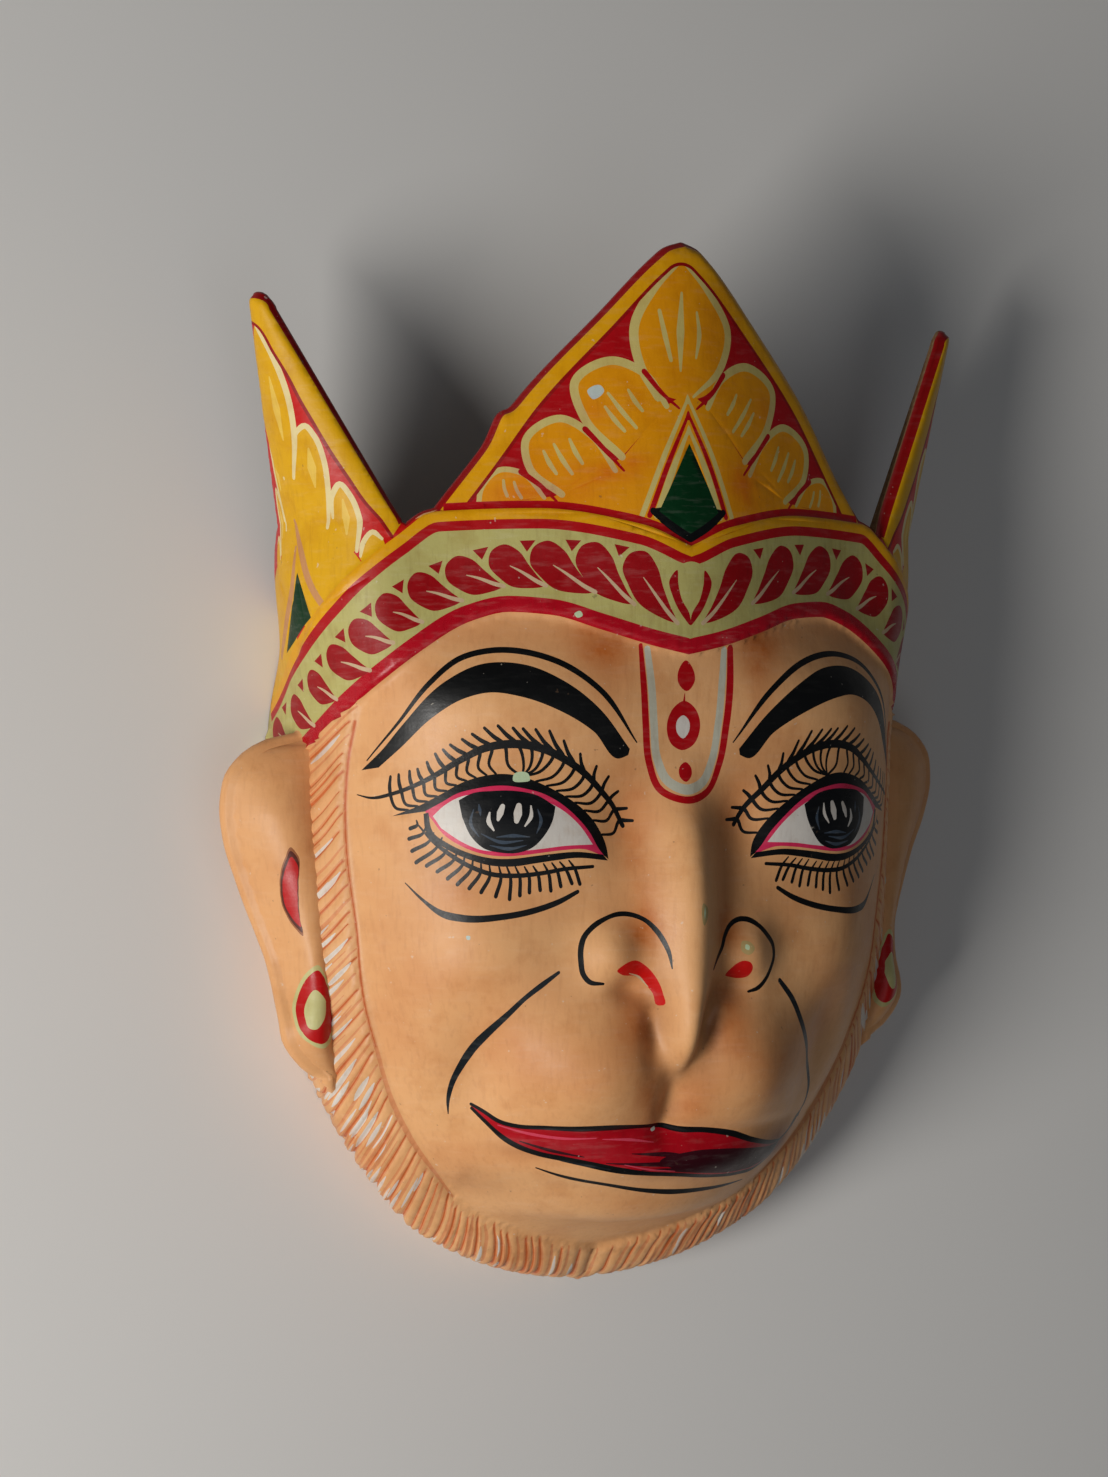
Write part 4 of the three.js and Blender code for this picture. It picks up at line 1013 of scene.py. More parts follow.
def ruff_paint():
    """Beard ruff: orange-brown hair strokes between the tufts, whitish strokes on some of them."""
    rng = random.Random(SEED)
    last = int((RING_SIDE + 58 + TUFT_DROP) / TUFT_PITCH)
    for side in (1, -1):
        for k in range(1, last):
            deep = k % 2 == 0
            for part in (0.0, 0.5):
                main = part == 0.0
                if not main and rng.random() < 0.6:
                    continue
                place = k + part
                place = place - tuft_wobble(place)
                origin = (place - 0.5) * TUFT_PITCH + rng.uniform(-0.3, 0.3)
                start = rng.uniform(0.0, 0.04) if main else rng.uniform(0.05, 0.35)
                end = rng.uniform(0.86, 1.0) if deep and main else rng.uniform(0.5, 0.9)
                line = ruff_line(start, end, origin, side, rng)
                if line[0][1] > band_low(abs(line[0][0])) - 1:
                    continue
                width = rng.uniform(*((1.3, 1.9) if deep and main else (0.7, 1.2) if main else (0.4, 0.8)))
                paint("light_brown", stroke(line, [width * 0.6, width, width * 1.15, width, 0.3], 1.1))
                if main and (deep or rng.random() < 0.25):
                    core = [width * 0.25, width * 0.36, width * 0.42, width * 0.35, 0.2]
                    paint("brown", stroke(line, core, 1.1))
            if k * TUFT_PITCH < UNDER_CHIN:
                # Whitish ends in the notches of the rim
                if deep and rng.random() < 0.8:
                    line = ruff_line(rng.uniform(0.7, 0.84), 0.985, (k - 0.08) * TUFT_PITCH, side, rng, 0.1)
                    paint("chalk", stroke(line, [0.3, 0.7, 1.2, 1.5, 1.2], 1.1))
                if rng.random() > 0.22:
                    continue
            chance = 0.8 if k * TUFT_PITCH < WHITISH_END else 0.28
            for part in (0.25, 0.6):
                if rng.random() > chance:
                    continue
                start = rng.uniform(0.03, 0.5)
                end = min(start + rng.uniform(0.14, 0.36), 0.97)
                origin = (k - 0.5 + part + rng.uniform(-0.06, 0.06)) * TUFT_PITCH
                line = ruff_line(start, end, origin, side, rng, 0.1)
                if line[0][1] > band_low(abs(line[0][0])) - 3:
                    continue
                width = rng.uniform(1.0, 1.9)
                paint("chalk", stroke(line, [0.3, width * 0.8, width, width * 0.9, 0.4], 1.1))
    edge_line = []
    for along in np.linspace(74, RING_SIDE + 56, 50):
        s, v = ring_point(along, 0.006 * math.sin(along * 0.13))
        edge_line.append((float(s), float(v)))
    paint("light_brown", stroke(edge_line, [0.3, 1.0, 0.8, 1.1, 1.2], 1.2), both=True)
    paint("brown", stroke(edge_line[20:], [0.2, 0.4, 0.3, 0.5, 0.6], 1.2), both=True)


def chips_and_dabs():
    paint("chip", filled([(-30.5, 111.5), (-26.5, 113.2), (-25.6, 112), (-29, 109.2)], 0.6))
    paint("mint", filled([(-55.6, 0.6), (-51, 0.8), (-50.6, -0.8), (-53, -1.4), (-55.8, -0.9)], 0.6))
    paint("chip", filled([(-4.8, -105.4), (-3.4, -104.6), (-2.8, -105.6), (-4.2, -106)], 0.5))
    # Two worn greenish spots on the nose and its right wing, and a pale fleck on the cheek
    paint("moss", filled([(1.6, -36), (3.4, -37.4), (3.2, -40.6), (1.9, -42.4), (0.9, -39.6)], 0.7))
    paint("moss", filled([(19.6, -48.2), (22.4, -48.4), (23.8, -50.2), (22, -52), (19.4, -50.8)], 0.7))
    paint("mint", stroke([(2.2, -37.2), (2.1, -40.4)], [0.2, 0.8, 0.2]))
    paint("mint", filled([(20.8, -49), (22, -49.4), (21.8, -50.6), (20.6, -50.2)], 0.5))
    paint("chip", filled([(-70.6, -45.4), (-69.4, -45.4), (-69.5, -46.4), (-70.4, -46.4)], 0.5))
    paint("mint", filled([(-35.5, 46.6), (-33.6, 47.6), (-33, 46.4), (-34.6, 45.6)], 0.5))


for lay in (ruff_paint, crown_paint, side_peak_paint, band_paint, forehead_mark_paint, brow_paint,
            eye_paint, nose_and_mouth_paint, chips_and_dabs):
    lay()

# Colours as seen in daylight (red, green, blue of 255), gloss roughness, and how much the brush shows
PAINTS = {
    "skin": ((226, 170, 116), 0.42, 0.5),
    "crimson": ((172, 6, 16), 0.34, 0.5),
    "red": ((196, 18, 14), 0.36, 0.5),
    "leaf": ((150, 2, 12), 0.36, 0.7),
    "dark_red": ((146, 8, 10), 0.38, 0.4),
    "rose": ((176, 10, 30), 0.26, 0.9),
    "pink": ((212, 44, 88), 0.34, 0.6),
    "lips": ((174, 5, 24), 0.36, 0.6),
    # Painted shade on the lips, and painted highlights on them
    "lip_dark": ((56, 2, 16), 0.4, 0.5),
    "lip_light": ((208, 70, 92), 0.26, 0.5),
    "yellow": ((222, 158, 8), 0.34, 0.5),
    "side_yellow": ((218, 164, 8), 0.36, 0.6),
    "orange": ((226, 148, 6), 0.34, 0.5),
    "cream": ((204, 186, 112), 0.4, 0.5),
    "net": ((182, 174, 106), 0.42, 0.9),
    "vein": ((196, 170, 136), 0.4, 0.5),
    "pale": ((224, 206, 150), 0.4, 0.5),
    "glow": ((228, 190, 80), 0.38, 0.5),
    "tan": ((196, 140, 90), 0.4, 0.6),
    "green": ((1, 48, 20), 0.32, 0.6),
    "black": ((9, 10, 11), 0.36, 0.1),
    "iris": ((10, 12, 15), 0.34, 0.14),
    # Slate grey of the fold lines, also laid as painted sheen on the black lip lines
    "slate": ((22, 28, 33), 0.36, 0.5),
    # Blue-grey painted sheen on the black iris
    "sheen": ((58, 70, 84), 0.3, 1.0),
    "ash": ((188, 186, 168), 0.44, 0.8),
    "white": ((212, 206, 198), 0.4, 0.6),
    "chalk": ((218, 208, 196), 0.46, 0.8),
    "brown": ((198, 102, 52), 0.44, 0.8),
    "light_brown": ((215, 144, 96), 0.44, 0.8),
    "chip": ((190, 204, 196), 0.55, 0.3),
    "mint": ((186, 206, 168), 0.4, 0.3),
    "moss": ((176, 152, 100), 0.42, 0.6),
    "ear_red": ((184, 12, 14), 0.36, 0.5),
    "ear_dark": ((150, 92, 56), 0.4, 0.4),
    "ear_brown": ((84, 32, 18), 0.4, 0.4),
    "ring_green": ((196, 190, 130), 0.4, 0.5),
    "raw_paper": ((150, 118, 84), 0.85, 0.4),
}
PAINT_NAMES = list(PAINTS)


def linear(rgb):
    c = np.array(rgb, float) / 255
    return np.where(c <= 0.04045, c / 12.92, ((c + 0.055) / 1.055) ** 2.4)


def inside_polygon(points, polygon):
    """Which points lie inside a polygon."""
    x, y = points[:, 0], points[:, 1]
    inside = np.zeros(len(points), bool)
    ax, ay = polygon[:, 0], polygon[:, 1]
    bx, by = np.roll(ax, -1), np.roll(ay, -1)
    for x0, y0, x1, y1 in zip(ax, ay, bx, by):
        if y0 == y1:
            continue
        crosses = (y0 > y) != (y1 > y)
        inside ^= crosses & (x < (x1 - x0) * (y - y0) / (y1 - y0) + x0)
    return inside


def even_points(outline, spacing, keep=None):
    """Points of an even triangular grid inside an outline."""
    low, high = outline.min(0), outline.max(0)
    rows = np.arange(low[1], high[1], spacing * 0.866)
    points = []
    for j, y in enumerate(rows):
        xs = np.arange(low[0] + (j % 2) * spacing / 2, high[0], spacing)
        points.append(np.stack([xs, np.full(len(xs), y)], 1))
    points = np.vstack(points)
    if keep is not None:
        points = points[keep(points)]
    return points[inside_polygon(points, outline)]


def away_from(points, others, distance):
    """Drops points that lie closer than a distance to others."""
    cell = distance * 1.01
    taken = {}
    for x, y in others:
        taken.setdefault((int(x // cell), int(y // cell)), []).append((x, y))
    kept = []
    limit = distance * distance
    for x, y in points:
        i, j = int(x // cell), int(y // cell)
        near = False
        for a in (i - 1, i, i + 1):
            for b in (j - 1, j, j + 1):
                for px, py in taken.get((a, b), ()):
                    if (px - x) ** 2 + (py - y) ** 2 < limit:
                        near = True
                        break
        if not near:
            kept.append((x, y))
    return np.array(kept).reshape(-1, 2)


# Grid points keep this far from paint edges, and points closer than the second size are joined
GRID_GAP = 0.62
JOIN_DISTANCE = 0.02


def triangulate(outline, grid, layers):
    """Triangles of a flat region with every paint edge as a mesh edge: places, triangles, paint of each."""
    names = ["skin"] + [name for name, _ in layers]
    lines = [outline] + [polygon for _, polygon in layers]
    fixed = np.vstack(lines)
    grid = away_from(grid, fixed, GRID_GAP)
    edges = []
    start = 0
    for line in lines:
        n = len(line)
        edges += [(start + k, start + (k + 1) % n) for k in range(n)]
        start += n
    places = [Vector(p) for p in np.vstack([fixed, grid])]
    verts, _, faces, *_ = delaunay_2d_cdt(places, edges, [], 0, JOIN_DISTANCE, False)
    verts = np.array([tuple(p) for p in verts])
    faces = np.array([tuple(f) for f in faces if len(f) == 3])
    a, b, c = (verts[faces[:, k]] for k in range(3))
    area = (b[:, 0] - a[:, 0]) * (c[:, 1] - a[:, 1]) - (c[:, 0] - a[:, 0]) * (b[:, 1] - a[:, 1])
    faces[area < 0] = faces[area < 0][:, ::-1]
    middle = (a + b + c) / 3
    keep = inside_polygon(middle, outline) & (np.abs(area) > 1e-7)
    faces, middle = faces[keep], middle[keep]
    order = np.zeros(len(faces), int)
    for k, (name, polygon) in enumerate(layers, 1):
        low, high = polygon.min(0), polygon.max(0)
        box = np.nonzero(((middle >= low) & (middle <= high)).all(1))[0]
        if len(box):
            order[box[inside_polygon(middle[box], polygon)]] = k
    ids = np.array([PAINT_NAMES.index(name) for name in names])
    return verts, faces, ids[order]


def edge_loop(faces):
    """Vertex numbers round the open edge of a patch of triangles, in the triangles' own turning sense."""
    count = {}
    for f in faces:
        for a, b in ((f[0], f[1]), (f[1], f[2]), (f[2], f[0])):
            count[(int(a), int(b))] = True
    following = {a: b for a, b in count if (b, a) not in count}
    start = next(iter(following))
    loop = [start]
    while following[loop[-1]] != start:
        loop.append(following[loop[-1]])
    assert len(loop) == len(following), (len(loop), len(following))
    return loop


class Shell:
    """One closed painted sheet with two faces and an edge."""

    def __init__(self):
        self.points = []
        self.faces = []
        self.paints = []
        self.places = []

    def add(self, points, places):
        first = len(self.points)
        self.points.extend(points)
        self.places.extend(places)
        return first

    def sheet(self, outline, grid, inner_spacing, layers, front, back, edge_rows, edge_round, edge_paint,
              back_paint, root=None):
        """Adds a painted sheet: front and back give its faces' points, root those of its root's edge."""
        verts, faces, ids = triangulate(outline, grid, layers)
        loop = edge_loop(faces)
        top = front(verts[:, 0], verts[:, 1])
        first = self.add(top, verts)
        self.faces.extend(faces + first)
        self.paints.extend(ids)
        rim = verts[loop]
        inner_grid = away_from(even_points(rim, inner_spacing), rim, inner_spacing * 0.45)
        low_verts, low_faces, _ = triangulate(rim, inner_grid, [])
        low_loop = edge_loop(low_faces)
        shift = int(np.argmin(np.hypot(*(low_verts[low_loop] - rim[0]).T)))
        low_loop = low_loop[shift:] + low_loop[:shift]
        assert len(low_loop) == len(loop), (len(low_loop), len(loop))
        bottom = back(low_verts[:, 0], low_verts[:, 1])
        low_first = self.add(bottom, low_verts)
        self.faces.extend(low_faces[:, ::-1] + low_first)
        self.paints.extend([back_paint] * len(low_faces))
        upper = top[loop]
        lower = bottom[low_loop]
        across = upper - lower
        thickness = np.linalg.norm(across, axis=1, keepdims=True)
        across = across / np.maximum(thickness, 1e-6)
        along = np.roll(upper, -1, 0) - np.roll(upper, 1, 0)
        out = np.cross(along, across)
        out /= np.maximum(np.linalg.norm(out, axis=1, keepdims=True), 1e-9)
        out *= edge_round(rim)[:, None]
        rows = [[first + i for i in loop]]
        for k in range(1, edge_rows):
            a = math.pi * (0.5 - k / edge_rows)
            mid = (upper + lower) / 2 + thickness / 2 * (across * math.sin(a) + out * math.cos(a))
            if root:
                root(mid, rim, (1 - math.sin(a)) / 2)
            mid[:, 2] = np.maximum(mid[:, 2], 0)
            at = self.add(mid, rim)
            rows.append(list(range(at, at + len(loop))))
        rows.append([low_first + i for i in low_loop])
        n = len(loop)
        rim_ids = edge_paint(rim)
        for k, (r0, r1) in enumerate(zip(rows[:-1], rows[1:])):
            for i in range(n):
                j = (i + 1) % n
                self.faces.append((r0[j], r0[i], r1[i]))
                self.faces.append((r0[j], r1[i], r1[j]))
                self.paints.extend([rim_ids[i][k]] * 2)

    def mesh(self, name):
        points = np.array(self.points) * MM + [0, CENTRE_Y * MM, 0]
        faces = np.array(self.faces, np.int32)
        mesh = bpy.data.meshes.new(name)
        mesh.from_pydata(points.tolist(), [], faces.tolist())
        mesh.update()
        mesh.polygons.foreach_set("use_smooth", np.ones(len(faces), bool))
        return mesh


# Spacing of the outer face's grid on the ruff, on nose, lips and edges, and elsewhere, and of the inside's
RUFF_GRID, FINE_GRID, COARSE_GRID, INSIDE_GRID = 1.25, 1.45, 2.3, 4.5


def sheet_grid():
    """Outline of the sheet and the places of the outer face's grid."""
    def on_ruff(p):
        _, q = ring_of(p[:, 0], p[:, 1])
        return (q > -0.04) & (p[:, 1] < band_low(np.abs(p[:, 0])) + 1)

    def fine(p):
        across = np.abs(p[:, 0])
        nose = (across < 42) & (p[:, 1] > -125) & (p[:, 1] < -25)
        lip = (across < 66) & (p[:, 1] > -126) & (p[:, 1] < -94)
        steps = np.abs(p[:, 1] - band_low(across)) < 3
        steps |= np.abs(p[:, 1] - band_top(across)) < 3
        return nose | lip | steps | (nearest_on_line(np.stack([across, p[:, 1]], 1), CROWN_EDGE[::3]) < 6)

    outline = sheet_outline()
    finest = even_points(outline, RUFF_GRID, on_ruff)
    middle = even_points(outline, FINE_GRID, lambda p: ~on_ruff(p) & fine(p))
    coarse = even_points(outline, COARSE_GRID, lambda p: ~on_ruff(p) & ~fine(p))
    return outline, np.vstack([finest, middle, coarse])


def settle(points, girth, v):
    """The rim lies on the plane z = 0."""
    on_rim = (np.abs(girth) > half_girth(v) - 0.02) & (v < REAR_EDGE_Y + 0.05)
    points[on_rim, 2] = 0
    points[:, 2] = np.maximum(points[:, 2], 0)
    return points


def mask_front(girth, v):
    return settle(outside_points(girth, v), girth, v)


def mask_back(girth, v):
    points = inside_points(girth, v) - outward(girth, v) * edge_roll(girth, v)[..., None]
    return settle(points, girth, v)


EDGE_ROWS = 5
EDGE_ROUND = 0.55
CROWN_EDGE_LOW = 14.0


def mask_edge_paint(rim):
    """Paint of the rows of the cut edge: dark red on the crown, raw paper towards the inside."""
    red, raw, skin = (PAINT_NAMES.index(name) for name in ("dark_red", "raw_paper", "skin"))
    out = []
    for s, v in rim:
        crown = v > band_top(abs(s)) - 0.5 and v > CROWN_EDGE_LOW
        band = band_low(abs(s)) < v <= band_top(abs(s))
        first = red if crown or band else skin
        out.append([first, first, first if crown else raw, raw, raw])
    return out


def mask_edge_round(rim):
    """How far the cut edge is rounded: on the crown alone."""
    return np.where((rim[:, 1] > band_top(np.abs(rim[:, 0])) - 2) & (rim[:, 1] > 20), EDGE_ROUND, 0.0)


shell = Shell()
shell.sheet(*sheet_grid(), INSIDE_GRID, LAYERS, mask_front, mask_back, EDGE_ROWS, mask_edge_round,
            mask_edge_paint, PAINT_NAMES.index("raw_paper"))

# Ears: outer edge across from the centre line at heights, and how the ear sits on the wall
EAR_EDGE = [
    (-88, 86), (-83, 96.5), (-74, 102.4), (-63, 103), (-54, 104.3), (-47, 106.5), (-38, 109.8), (-29, 113),
    (-18, 116.8), (-9, 118.2), (-2, 117.5), (3.5, 114), (8, 107), (10, 98),
]
# Height of the outer edge over the rim's plane
EAR_EDGE_Z = [(-88, 30), (-74, 30.5), (-63, 26), (-48, 22), (-29, 20), (-9, 22), (10, 24)]
# The right ear was stuck on this much higher than the left one
RIGHT_EAR_LIFT = 6.0
# Root of the ear's front face on the wall, as girth fraction, and how far that face bulges
EAR_FRONT_GIRTH = [(-88, 0.775), (-77, 0.768), (-60, 0.75), (-30, 0.755), (-10, 0.775), (10, 0.785)]
EAR_BULGE = [(-88, 0), (-77, 4.5), (-66, 6), (-14, 6), (-3, 4), (10, 0)]
EAR_BACK_GIRTH = 0.925
EAR_EDGE_HALF = 3.0
EAR_WIDTH = 30.0
EAR_END_REACH = 14.0
EAR_EDGE_ROUND = 0.9
EAR_EDGE_ROWS = 6
# Spacing of the ear's edge points, and of the grids of its front and back
EAR_STEP, EAR_GRID, EAR_BACK_GRID = 1.75, 1.6, 4.0
ear_edge = through(EAR_EDGE)
ear_edge_z = through(EAR_EDGE_Z)
ear_front_girth = through(EAR_FRONT_GIRTH)
ear_bulge = through(EAR_BULGE)


def wall_middle(fraction, v):
    """Points halfway through the wall of the right half."""
    girth = fraction * half_girth(v)
    return (outside_points(girth, v) + inside_points(girth, v)) / 2


def ear_lines(v, lift):
    """Root on the wall in front, root behind, and outer edge of an ear at heights on it."""
    front = wall_middle(ear_front_girth(v), v + lift)
    back = wall_middle(EAR_BACK_GIRTH, v + lift)
    x = np.maximum(ear_edge(v), front[:, 0] + 4)
    edge = np.stack([x, front[:, 1], ear_edge_z(v)], 1)
    return front, back, edge


def ear_front(across, v, lift):
    front, _, edge = ear_lines(v, lift)
    t = np.clip(across / EAR_WIDTH, 0, 1)
    points = front + (edge - front) * t[:, None]
    points[:, 2] += EAR_EDGE_HALF * t + ear_bulge(v) * np.sin(math.pi * t)
    return points


def ear_back(across, v, lift):
    _, back, edge = ear_lines(v, lift)
    t = np.clip(across / EAR_WIDTH, 0, 1)
    points = back + (edge - back) * t[:, None]
    points[:, 2] -= EAR_EDGE_HALF * t
    return points


def ear_root(mid, rim, share, lift):
    """The ear's root runs along the middle of the wall, from its front face to its back face."""
    at_root = rim[:, 0] < 0.01
    v = rim[at_root, 1]
    mid[at_root] = wall_middle(lerp(ear_front_girth(v), EAR_BACK_GIRTH, share), v + lift)


def ear_end(rim):
    """How far the ear's rim is rounded: fully at its edge, not at all at the root."""
    return EAR_EDGE_ROUND * ease(0, EAR_END_REACH, rim[:, 0])


def ear_paint(side):
    """Layers on one ear, across it from root to edge out of EAR_WIDTH, and up it."""
    crescent = [
        (13.8, -22.2), (16.2, -24.8), (18.8, -28.8), (20.2, -33), (20.8, -37.5), (20, -40.8), (18.2, -43.5),
        (16.4, -44.9), (15.8, -40.2), (14.8, -36), (13.2, -30), (11.8, -24.8),
    ]
    ring = [
        (10.8, -56.4), (17.2, -57.6), (21.8, -60.5), (24.8, -63.8), (27, -67.8), (26.4, -72.5),
        (23.4, -75.2), (18.6, -77), (12, -77), (6, -74.5), (3.6, -70), (5, -65), (6.4, -61),
    ]
    inner = [(15.8, -61.8), (12.4, -62.8), (9.6, -65), (9.8, -68), (13, -71), (18, -73), (22.4, -72),
        (23.2, -68.2), (20.6, -64.4)]

    def about(points, middle, size):
        x0, v0 = middle
        return filled([(x0 + (x - x0) * size, v0 + (v - v0) * size) for x, v in points], 0.7)

    on_left = [
        ("ear_dark", about(crescent, (16.4, -34), 1.14)),
        ("ear_brown", about(crescent, (16.4, -34), 1.05)),
        ("ear_red", about(crescent, (16.4, -34), 0.9)),
    ]
    return (on_left if side < 0 else []) + [
        ("ring_green", about(ring, (15.5, -67.5), 1.13)),
        ("ear_red", about(ring, (15.5, -67.5), 1.0)),
        ("ring_green", about(inner, (16.4, -67.4), 1.0)),
    ]


ear_low, ear_high = EAR_EDGE[0][0], EAR_EDGE[-1][0]
heights = np.arange(ear_low, ear_high + 0.1, EAR_STEP)
ear_outline = np.vstack([
    np.stack([np.linspace(0, EAR_WIDTH, 16)[:-1], np.full(15, ear_low)], 1),
    np.stack([np.full(len(heights), EAR_WIDTH), heights], 1),
    np.stack([np.linspace(EAR_WIDTH, 0, 16)[1:], np.full(15, heights[-1])], 1),
    np.stack([np.zeros(len(heights) - 2), heights[-2:0:-1]], 1),
])
EARS_START = len(shell.points)
for side, lift in ((1, RIGHT_EAR_LIFT), (-1, 0.0)):
    ear = Shell()
    skin_id = PAINT_NAMES.index("skin")
    ear.sheet(ear_outline, even_points(ear_outline, EAR_GRID), EAR_BACK_GRID, ear_paint(side),
              partial(ear_front, lift=lift), partial(ear_back, lift=lift), EAR_EDGE_ROWS, ear_end,
              lambda rim: [[skin_id] * EAR_EDGE_ROWS] * len(rim), skin_id, partial(ear_root, lift=lift))
    first = shell.add(np.array(ear.points) * [side, 1, 1], np.array(ear.places) * [side, 1])
    faces = np.array(ear.faces) + first
    shell.faces.extend(faces if side > 0 else faces[:, ::-1])
    shell.paints.extend(ear.paints)

# Airbrushed shading on the skin: girth, height, reach across, reach up, strength; the ears have an even one
EAR_WARM = 0.12
WARM_SPOTS = [
    (27, 38, 12, 9, 0.75), (60, 42, 30, 6, 0.35), (18, -12, 7, 16, 0.55), (14, -36, 5, 16, 0.55),
    (56, 6, 26, 7, 0.15), (50, -36, 26, 7, 0.25), (15, -45, 6, 5, 0.75), (17, -70, 8, 13, 0.85),
    (8, -92, 8, 9, 0.7), (32, -82, 14, 12, 0.45), (60, -80, 14, 12, 0.3), (88, -44, 16, 14, 0.22),
    (78, -30, 10, 8, 0.2), (100, -60, 8, 24, 0.16), (0, -101, 26, 4, 0.3), (44, -112, 22, 5, 0.3),
    (26, 26, 6, 14, 0.35), (96, 12, 7, 12, 0.2), (0, -128, 40, 4, 0.2), (70, -116, 14, 10, 0.25),
]
# Painted shade: dark brown in the creases and hollows, beside and under the nose's point, on the nostril
# wings, under the band's edge, below the eye and beside the chin; girth, height, reach across, reach up,
# strength
CREASE_SHADE_SPOTS = [
    (11, -72, 4, 13, 0.7), (4, -87, 4, 5, 0.35), (25, 41, 6, 3, 0.3), (72, -25, 12, 6, 0.28),
    (20, -50, 5, 5, 0.35), (0, -100, 5, 6, 0.3), (60, -124, 14, 7, 0.4),
]

# Thin orange-brown washes over the crown's orange, on its left (below 0) and right
WASH_SPOTS = [
    (-44, 81.5, 14, 3.6, 0.75), (-27, 88, 10, 3.2, 0.7), (-18, 91, 6, 2.4, 0.5), (20, 87, 6, 6, 0.75),
    (24, 80, 6, 3, 0.5), (-30, 106, 6, 4, 0.35), (-48, 90, 6, 5, 0.45), (10, 128, 4, 9, 0.25),
    (30, 108, 5, 5, 0.3),
]
# Painted shade, on one side only: the lips' right half and lower edge
LIP_SHADE_SPOTS = [
    (34, -117, 20, 5, 0.6), (6, -116.5, 18, 3, 0.4), (52, -114, 12, 6, 0.9), (-40, -110, 16, 2.5, 0.3),
]


def spots(girth, v, table, mirrored=True):
    across = np.abs(girth) if mirrored else girth
    total = np.zeros(len(across))
    for s, h, rs, rv, strength in table:
        total += strength * np.exp(-((across - s) / rs) ** 2 - ((v - h) / rv) ** 2)
    return np.clip(total, 0, 1)


def finish_mesh(name):
    mesh = shell.mesh(name)
    places = np.array(shell.places)
    ids = np.array(shell.paints)
    colours = np.array([linear(PAINTS[n][0]) for n in PAINT_NAMES])[ids]
    gloss = np.array([PAINTS[n][1] for n in PAINT_NAMES])[ids]
    streaks = np.array([PAINTS[n][2] for n in PAINT_NAMES])[ids]
    on_skin = [PAINT_NAMES.index(n) for n in ("skin", "brown", "light_brown", "chalk")]
    skin = np.isin(ids, on_skin).astype(float)
    raw = (ids == PAINT_NAMES.index("raw_paper")).astype(float)
    rgba = np.concatenate([np.repeat(colours, 3, 0), np.ones((len(ids) * 3, 1))], 1)
    layer = mesh.attributes.new("paint", "FLOAT_COLOR", "CORNER")
    layer.data.foreach_set("color", rgba.ravel())
    for title, values in (("gloss", gloss), ("streaks", streaks), ("skin", skin), ("raw", raw)):
        layer = mesh.attributes.new(title, "FLOAT", "CORNER")
        layer.data.foreach_set("value", np.repeat(values, 3))
    tables = (("warm", WARM_SPOTS), ("crease_shade", CREASE_SHADE_SPOTS), ("deep", LIP_SHADE_SPOTS), ("wash", WASH_SPOTS))
    for title, table in tables:
        values = spots(places[:, 0], places[:, 1], table, title in ("warm", "crease_shade"))
        values[EARS_START:] = EAR_WARM if title == "warm" else 0.0
        layer = mesh.attributes.new(title, "FLOAT", "POINT")
        layer.data.foreach_set("value", values)
    return mesh


